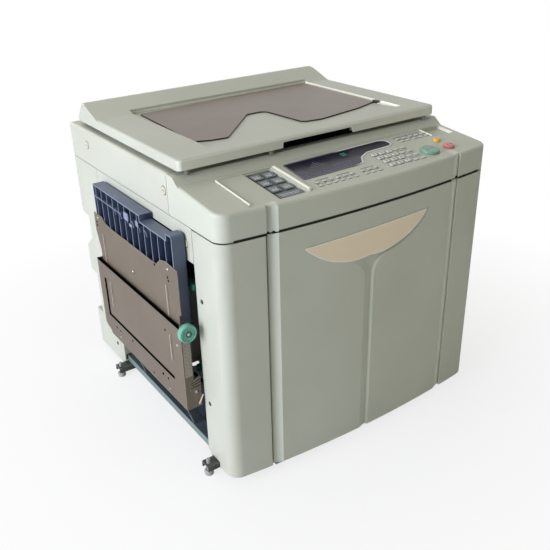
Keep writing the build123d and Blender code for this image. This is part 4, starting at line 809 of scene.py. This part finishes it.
# Bezel of the display: the lens outline, drawn in to a narrow ring and raised
left_and_top = ((213, 117), (209, 44), (342, 47), (355, 51), (370, 73), (396, 86))
right_and_foot = ((456, 89), (469, 96), (471, 116), (454, 124))
bezel = bmesh.new()
corners = [on_panel(x, depth) @ Vector() for x, depth in left_and_top + right_and_foot]
bezel.faces.new([bezel.verts.new(corner) for corner in corners])
soften(bezel, 0.004, 4, bezel.verts[:], "VERTICES")
rim_only(bezel, 0.0028)
raised(bezel, panel_up * 0.0011)
finish_piece(bezel, "display_bezel", "machine", bezel_pale)


def half_round(width, length, height):
    """Strip with a round top, standing on z = 0."""
    shape = bmesh.new()
    slab(shape, (0, 0, 0), (width, length, height * 2))
    along = edges_along(shape, 1, length / 2)
    top = [edge for edge in along if all(corner.co.z > 0 for corner in edge.verts)]
    soften(shape, min(width / 2, height) * 0.9, 5, top)
    return shape


# Ridges, near-white as painted highlight: beside the display, on the sliding lid and beside the clip
# pocket
for ridge_name, body, place, size in (
    ("display_ridge", "machine", on_panel(194, 62.5, 2.5), (0.0058, 0.112, 0.0012)),
    ("lid_ridge", "subpanel_lid", on_panel(69, 62.5, 1.6), (0.0028, 0.112, 0.0014)),
    ("clip_ridge", "machine", on_panel(575, 108, 0), (0.0024, 0.038, 0.0016)),
):
    finish_piece(half_round(*size), ridge_name, body, highlight_white, place=place)

# Flat sheets: the end wall of the clip pocket, pale as painted highlight, and the dark liner on the
# floor of the key well
for sheet_name, finish, place, size in (
    ("clip_pocket_wall", highlight_white, on_panel(632.6, 106, -4.2), (0.0006, 0.038, 0.0068)),
    ("key_well_liner", well_dark, on_panel(159, 62.5, -5.7), (0.0554, 0.1125, 0.0004)),
):
    sheet = bmesh.new()
    slab(sheet, (0, 0, 0), size)
    finish_piece(sheet, sheet_name, "machine", finish, place=place)


def dash(width, length, thick=0.0001):
    """Flat printed mark standing on z = 0."""
    shape = bmesh.new()
    slab(shape, (0, 0, thick / 2), (width, length, thick))
    return shape


def printed_rows(name, body, finish, rows, lift, seed):
    """Rows of short marks, like print too small to read: x from and to, depth, height of a mark."""
    order = random.Random(seed)
    marks = bmesh.new()
    for start, end, depth, height in rows:
        x = start
        while x < end:
            run = order.uniform(1.2, 4.6)
            mark = dash(min(run, end - x + 0.5) / 1000, height / 1000)
            set_in(marks, mark, on_panel(x + run / 2, depth, lift))
            mark.free()
            x += run + order.uniform(0.8, 1.8)
    return finish_piece(marks, name, body, finish)


# Dark rings of painted shade: the gap round every key, as it shows from above
number_places = [(397 + 19 * column, 16 + 17.5 * row) for column in range(3) for row in range(4)]
group_middles = (238, 286, 344)
key_gap_rings = bmesh.new()
for places, width, length in (
    (number_places, 15.6, 11.6),
    ([(x, depth) for x in (454, 473) for depth in (14, 33, 52, 71)], 13.8, 9.8),
    ([(x + d, depth) for x in group_middles for d in (-16, 0, 16) for depth in (11, 24)], 10.6, 7.6),
    ([(x, depth) for x in (497, 514, 531, 548, 565) for depth in (97, 110)], 12.6, 8.6),
):
    collar = bmesh.new()
    outline = Matrix.Diagonal((width / 1000, length / 1000, 1, 1))
    bmesh.ops.create_grid(collar, x_segments=1, y_segments=1, size=0.5, matrix=outline)
    soften(collar, 0.0026, 3, collar.verts[:], "VERTICES")
    rim_only(collar, 0.00075)
    raised(collar, (0, 0, 0.0003))
    for x, depth in places:
        set_in(key_gap_rings, collar, on_panel(x, depth))
    collar.free()
finish_piece(key_gap_rings, "key_gap_shadows", "machine", collar_dark)

# Print: legends by the keys, in the well and behind the display lens, and on two buttons
printed_rows(
    "key_legends",
    "machine",
    ink,
    [(middle - 20, middle + 20, 17.5, 1.9) for middle in group_middles]
    + [(middle - 14, middle + 16, 31.5, 2.4) for middle in group_middles]
    + [(492, 566, 103.5, 1.8), (492, 566, 117, 2.2)]
    + [(449, 479, depth, 1.7) for depth in (23.5, 42.5, 61.5)],
    0.0,
    3,
)
printed_rows(
    "well_legends",
    "machine",
    pale_ink,
    [
        (x - 7, x + 6, depth + step, 1.8 - step * 0.1)
        for x in (145, 172)
        for depth in (46, 74, 102)
        for step in (4, -1, -5)
    ]
    + [(138, 178, 20, 1.6), (140, 176, 15, 1.4)],
    well_key_face,
    5,
)
printed_rows(
    "display_legends",
    "machine",
    lens_ink,
    [(216, 232, depth, 1.4) for depth in (52, 58, 64, 70, 76)]
    + [(238, 338, 51.5, 1.3), (238, 338, 56.5, 1.3)]
    + [(296, 356 - step, 62 + step, 1.2) for step in (0, 5, 10)]
    + [(252 + step, 292 - step, 82 + step, 1.8) for step in (0, 6, 12, 18, 24)],
    lens_face,
    8,
)
printed_rows("start_legend", "start_button", ink, [(500, 517, 30, 2.6)], button_face, 11)
printed_rows("stop_legend", "stop_button", ink, [(553.5, 565, 28, 2.0)], button_face, 11)
for mark_index, depth in enumerate((98, 105)):
    lamp_name = f"display_lamp_{mark_index}"
    mark = dash(0.012, 0.0045, 0.0003)
    finish_piece(mark, lamp_name, "machine", lamp_teal, place=on_panel(347, depth, 0.5))


def figure(text, size, place, name, body, finish):
    """Printed figure: plain type made a mesh, then laid in its place."""
    type_line = bpy.data.curves.new(name, "FONT")
    type_line.body = text
    type_line.size = size
    type_line.align_x = "CENTER"
    type_line.align_y = "CENTER"
    type_line.extrude = 0.00005
    type_line.resolution_u = 3
    holder = bpy.data.objects.new(name, type_line)
    bpy.context.collection.objects.link(holder)
    seen_by = bpy.context.evaluated_depsgraph_get()
    letters = bpy.data.meshes.new_from_object(holder.evaluated_get(seen_by))
    bpy.data.objects.remove(holder)
    shape = bmesh.new()
    shape.from_mesh(letters)
    bpy.data.meshes.remove(letters)
    bmesh.ops.remove_doubles(shape, verts=shape.verts, dist=1e-7)
    return finish_piece(shape, name, body, finish, place=place)


key_bodies = [f"key_{mark}" for mark in "123456789"] + ["key_clear", "key_0", "key_times"]
for index, (mark, body) in enumerate(zip("123456789C0*", key_bodies)):
    x, depth = number_places[4 * (index % 3) + 3 - index // 3]
    figure(mark, 0.0085, on_panel(x, depth, key_face), f"figure_{body}", body, ink)

# Start and stop symbols, printed pale on the buttons: a diamond and a triangle in outline
for name, place, corners, size, body in (
    ("start_symbol", on_panel(508, 30, button_face), 4, 0.0052, "start_button"),
    ("stop_symbol", on_panel(559, 28, button_face), 3, 0.0036, "stop_button"),
):
    symbol = bmesh.new()
    bmesh.ops.create_circle(symbol, cap_ends=True, segments=corners, radius=size)
    rim_only(symbol, 0.0009, even=False)
    raised(symbol, (0, 0, 0.0001))
    finish_piece(symbol, name, body, pale_ink, place=place)

# Nameplate: a bare beige sheet let into the bowed door. A thin bead, moulded with a rounded tip at
# either end, runs along its straight top and its boat-shaped lower edge and holds it; its near-white
# colour is partly painted highlight.

plate_face = plastic("plate_face", (240, 224, 192), (233, 216, 184), 0.35, dust=0.0, round_edge=0.0)
bead_highlight_white = metal("bead_highlight_white", (248, 247, 228), (240, 238, 220), 0.3, metallic=0.0)
finish_node(plate_face, "nameplate")

left_tip = Vector((-0.159, 0, 0.474))
low_point = Vector((-0.008, 0, 0.422))
right_tip = Vector((0.143, 0, 0.479))
bead_back = 0.0004  # behind the door's face
bead_width = 0.0024
bead_thick = 0.0015


def sweep_arc(shape, start, through, end):
    """Runs a corner along the arc through three places."""
    first = through - start
    second = end - start
    normal = first.cross(second)
    centre = start + (
        second.length_squared * normal.cross(first) + first.length_squared * second.cross(normal)
    ) / (2 * normal.length_squared)
    turn = (start - centre).angle(end - centre)
    corner = shape.verts.new(start)
    axis = normal.normalized()
    bmesh.ops.spin(shape, geom=[corner], cent=centre, axis=axis, angle=turn, steps=18)


bead = bmesh.new()
sweep_arc(bead, left_tip, Vector((-0.108, 0, 0.437)), low_point)
sweep_arc(bead, low_point, Vector((0.074, 0, 0.431)), right_tip)
bmesh.ops.remove_doubles(bead, verts=bead.verts, dist=1e-5)
ends = [corner for corner in bead.verts if len(corner.link_edges) == 1]
top_run = bead.edges.new(ends)
bmesh.ops.subdivide_edges(bead, edges=[top_run], cuts=20)
bmesh.ops.contextual_create(bead, geom=bead.edges[:])
tips = [
    corner
    for corner in bead.verts
    if min((corner.co - left_tip).length, (corner.co - right_tip).length) < 1e-5
]
soften(bead, 0.006, 3, tips, "VERTICES")
rim_only(bead, bead_width)
raised(bead, (0, -bead_thick, 0))
for corner in bead.verts:
    corner.co.y += bead_back + bowed(corner.co.x)
finish_piece(bead, "nameplate_bead", "front_door", bead_highlight_white)

# Feed tray: brown painted steel plates, folded up, with small screws, and black strips of painted shade
# along the top edge and in and behind the slot. Behind them the blue ribbed deck slides, and a knurled
# green dial at the front moves it.


def deck_shade_and_highlight(tree, base):
    """Painted highlight makes the deck's front rib edges pale, and painted shade makes its pockets
    darker than its rim.
    """
    inside = joined(tree, zone(tree, "X", -0.3495, -0.336), zone(tree, "Y", -0.2006, -0.2002))
    inside = joined(tree, inside, facing(tree, "Z", 0.6, 0.4))
    base = mixed(tree, inside, base, (36, 44, 76))
    return mixed(tree, zone(tree, "X", -0.3509, -0.3514), base, (112, 124, 142))


tray_brown = metal("tray_brown", (103, 92, 76), (95, 84, 69), 0.45, metallic=0.0, worn=(176, 168, 156))
deck_blue = plastic("deck_blue", (82, 94, 116), (72, 84, 106), 0.42, dust=0.1, patches=deck_shade_and_highlight)
dial_green = plastic("dial_green", (110, 176, 154), (98, 164, 142), 0.42, worn=(150, 200, 182))
guide_grey = plastic("guide_grey", (150, 152, 148), (140, 142, 138), 0.45)
catch_grey = plastic("catch_grey", (128, 138, 155), (118, 128, 146), 0.5)
prop_ivory = plastic("prop_ivory", (226, 206, 186), (216, 196, 176), 0.4, dust=0.0)
crest_wear_highlight = metal("crest_wear_highlight", (178, 170, 152), (128, 118, 102), 0.45, metallic=0.0)
strip_paper = metal("strip_paper", (150, 140, 126), (138, 128, 114), 0.6, metallic=0.0)
# Near-black for painted shade: in and behind the feed slot, along the plate's top edge and in the
# stamped holes.
shade_black = plastic(
    "shade_black", (10, 9, 8), (6, 6, 6), 0.9, 1500.0, dust=0.0, round_edge=0.0, shine=0.0
)
finish_node(tray_brown, "feed_tray_frame", "feed_tray_deck_plate")
finish_node(deck_blue, "feed_tray_deck")
finish_node(guide_grey, "feed_guide_front", "feed_guide_rear")

plate_x = -0.361
deck_plate_x = -0.353
flange_y = -0.222


def strips(name, body, finish, *limits, edge=None):
    """Piece of rectangular strips, each between its limits in X, Y and Z; edge rounds them."""
    shape = bmesh.new()
    for x_from, x_to, y_from, y_to, z_from, z_to in limits:
        middle = ((x_from + x_to) / 2, (y_from + y_to) / 2, (z_from + z_to) / 2)
        slab(shape, middle, (x_to - x_from, y_to - y_from, z_to - z_from))
    if edge:
        soften(shape, edge, 3, edges_along(shape, 1, 0.1))
    return finish_piece(shape, name, body, finish)


strips(
    "slot_back_shadow",
    "feed_tray",
    shade_black,
    (-0.3594, -0.3588, 0.127, 0.146, 0.2, 0.297),
    (-0.3594, -0.3588, -0.184, 0.1268, 0.194, 0.2085),
)
strips(
    "slot_shadow",
    "feed_tray",
    shade_black,
    (-0.3618, -0.3595, 0.1305, 0.1395, 0.2035, 0.292),
    (-0.3618, -0.3595, -0.179, 0.1395, 0.1975, 0.2035),
)
strips(
    "tray_edge_shadow",
    "feed_tray",
    shade_black,
    (-0.3614, -0.3562, -0.2195, 0.1695, 0.3266, 0.3302),
    edge=0.0012,
)
strips("gauge_strip", "feed_tray", strip_paper, (-0.3585, -0.3435, -0.2226, -0.2222, 0.222, 0.3))

# Crests of the pressed ribs, rubbed to pale primer by the paper stacks and made paler still as painted
# highlight
for name, body, surface_x, runs in (
    ("tray_rib_crests", "feed_tray", plate_x, ((0.105, 0.233, 0.294), (-0.178, 0.241, 0.298))),
    ("deck_rib_crests", "feed_deck", deck_plate_x, ((0.131, 0.332, 0.398), (-0.166, 0.332, 0.398))),
):
    crests = bmesh.new()
    for run_y, low, high in runs:
        crest = half_round(0.0022, high - low, 0.0004)
        set_in(crests, crest, aimed((surface_x - 0.0014, run_y, (low + high) / 2), (-1, 0, 0)))
        crest.free()
    finish_piece(crests, name, body, crest_wear_highlight)

# Screws, and dark discs of painted shade for the stamped holes, on the tray's plate and on the deck's
tray_screws = bmesh.new()
deck_screws = bmesh.new()
head = cross_screw(0.0036, 0.0013)
small_head = cross_screw(0.0024, 0.001)
for shape, place, target, surface_x in (
    (small_head, (-0.204, 0.287), tray_screws, plate_x),
    (small_head, (-0.151, 0.158), tray_screws, plate_x),
    (small_head, (0.0885, 0.161), tray_screws, plate_x),
    (head, (-0.1766, 0.432), deck_screws, deck_plate_x),
    (head, (0.1528, 0.428), deck_screws, deck_plate_x),
    (head, (-0.0133, 0.3633), deck_screws, deck_plate_x - 0.0012),
):
    set_in(target, shape, aimed((surface_x, *place), (-1, 0, 0)))
set_in(tray_screws, head, aimed((-0.338, flange_y, 0.182), (0, -1, 0)))
head.free()
small_head.free()
finish_piece(tray_screws, "tray_screws", "feed_tray", zinc_screw)
finish_piece(deck_screws, "deck_screws", "feed_deck", zinc_screw)

hole_disc = turned(
    ((0, 0.0002), (0.0016, 0.0002), (0.0022, 0.0005), (0.0026, 0.0001), (0.0026, -0.0004), (0, -0.0004)),
    20,
)
for name, body, surface_x, places in (
    (
        "tray_hole_shade",
        "feed_tray",
        plate_x,
        ((0.104, 0.179), (-0.1565, 0.298), (-0.1247, 0.1795), (-0.079, 0.158), (0.02, 0.185)),
    ),
    (
        "deck_hole_shade",
        "feed_deck",
        deck_plate_x,
        ((0.1598, 0.409), (0.16, 0.417), (-0.1745, 0.4154), (-0.1768, 0.409), (-0.122, 0.4215)),
    ),
):
    holes = bmesh.new()
    for place in places:
        set_in(holes, hole_disc, aimed((surface_x, *place), (-1, 0, 0)))
    finish_piece(holes, name, body, shade_black)
hole_disc.free()

# Punched dots of the gauge strip on the front flange, and the worn spring leaves under it
dots = bmesh.new()
dot = turned(((0, 0.0001), (0.0009, 0.0001), (0.0009, -0.0001), (0, -0.0001)), 12)
for row in range(9):
    for column in range(2):
        place = (-0.3545 + 0.007 * column, -0.2227, 0.228 + 0.008 * row + 0.003 * column)
        set_in(dots, dot, aimed(place, (0, -1, 0)))
dot.free()
finish_piece(dots, "gauge_dots", "feed_tray", slot_shade)

leaves = bmesh.new()
leaf = half_round(0.004, 0.024, 0.0022)
flat_on = aimed((0, 0, 0), (0, -1, 0)) @ Matrix.Rotation(math.radians(90), 4, "Z")
for step in range(4):
    tilt = Matrix.Rotation(math.radians(-14 + 3 * step), 4, "Y")
    set_in(leaves, leaf, Matrix.Translation((-0.34, -0.2221, 0.21 - 0.0058 * step)) @ tilt @ flat_on)
leaf.free()
finish_piece(leaves, "spring_leaves", "feed_tray", tray_brown)
finish_piece(
    turned(((0, 0.021), (0.0011, 0.021), (0.0016, 0.02), (0.0016, 0.0), (0, 0)), 16),
    "bracket_prop",
    "feed_tray",
    prop_ivory,
    place=aimed((-0.3345, -0.2238, 0.1535), (0.0105, 0, 0.0198)),
)

# Deck fittings: the pale catch at the middle of the deck, and the arched webs between its ribs
catch = bmesh.new()
slab(catch, (-0.3518, -0.008, 0.4822), (0.0022, 0.021, 0.016))
soften(catch, 0.003, 3, edges_along(catch, 0, 0.001))
slab(catch, (-0.3519, -0.058, 0.4825), (0.0014, 0.012, 0.011))
slab(catch, (-0.3519, -0.027, 0.469), (0.0014, 0.014, 0.006))
finish_piece(catch, "deck_catch", "feed_deck", catch_grey)

web_x = -0.3517
web_z = 0.468
webs = bmesh.new()
for rib in range(4, 10):
    rib_y = -0.202 + 0.029 * rib
    web = bmesh.new()
    start = web.verts.new((web_x, rib_y - 0.012, web_z))
    middle = (web_x, rib_y, web_z)
    bmesh.ops.spin(web, geom=[start], cent=middle, axis=(1, 0, 0), angle=-math.pi / 2, steps=8)
    drawn_out(web, bmesh.ops.extrude_edge_only(web, edges=web.edges[:]), (0.022, 0, 0))
    bmesh.ops.solidify(web, geom=web.faces[:], thickness=0.0016)
    set_in(webs, web, Matrix.Identity(4))
    web.free()
bmesh.ops.recalc_face_normals(webs, faces=webs.faces)
finish_piece(webs, "deck_webs", "feed_deck", deck_blue)

# Position dial: knurled rim, dished face, hub and the screw that holds it
dial_dish = ((0, 0.0115), (0.0068, 0.0115), (0.0072, 0.0105), (0.0075, 0.0095), (0.0138, 0.0102))
dial_rim = ((0.0148, 0.012), (0.0168, 0.012), (0.0178, 0.0108), (0.0178, 0.0012), (0.0168, 0))
dial_hub = ((0.008, 0), (0.008, -0.0065), (0, -0.0065))
dial_x = -0.353
dial_z = 0.3256
dial = turned(dial_dish + dial_rim + dial_hub, 72)
for corner in dial.verts:
    reach = math.hypot(corner.co.x, corner.co.y)
    tooth = round(math.degrees(math.atan2(corner.co.y, corner.co.x)) / 5)
    if reach > 0.0174 and tooth % 2:
        corner.co.x *= 0.92
        corner.co.y *= 0.92
dial_piece = finish_piece(
    dial, "dial", "position_dial", dial_green, place=aimed((dial_x, -0.229, dial_z), (0, -1, 0))
)
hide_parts("position_dial")
finish_piece(
    turned(((0, 0.0004), (0.0042, 0.0004), (0.0052, 0.0012), (0.0062, 0.0012), (0.0066, 0), (0, 0)), 32),
    "dial_cup",
    "position_dial",
    release_green,
    place=aimed((dial_x, -0.2405, dial_z), (0, -1, 0)),
)
finish_piece(
    cross_screw(0.0034, 0.0016),
    "dial_screw",
    "position_dial",
    zinc_screw,
    place=aimed((dial_x, -0.2409, dial_z), (0, -1, 0)),
)

# Receiving tray: a ribbed pan moulded in grey plastic. It turns on two pins low on the right side,
# and is folded up over the paper exit.

receiver_grey = plastic("receiver_grey", (160, 161, 152), (152, 153, 144), 0.45)
finish_node(receiver_grey, "receiving_tray")

# Mains inlet at the back: a black moulded socket, screwed in from behind, with three flat zinc
# pins in it.

pins = bmesh.new()
for pin_x, pin_z in ((0.143, 0.0722), (0.157, 0.0722), (0.15, 0.0802)):
    slab(pins, (pin_x, 0.322, pin_z), (0.002, 0.014, 0.004))
soften(pins, 0.0004, 2)
finish_piece(pins, "inlet_pins", "machine", bright_zinc)
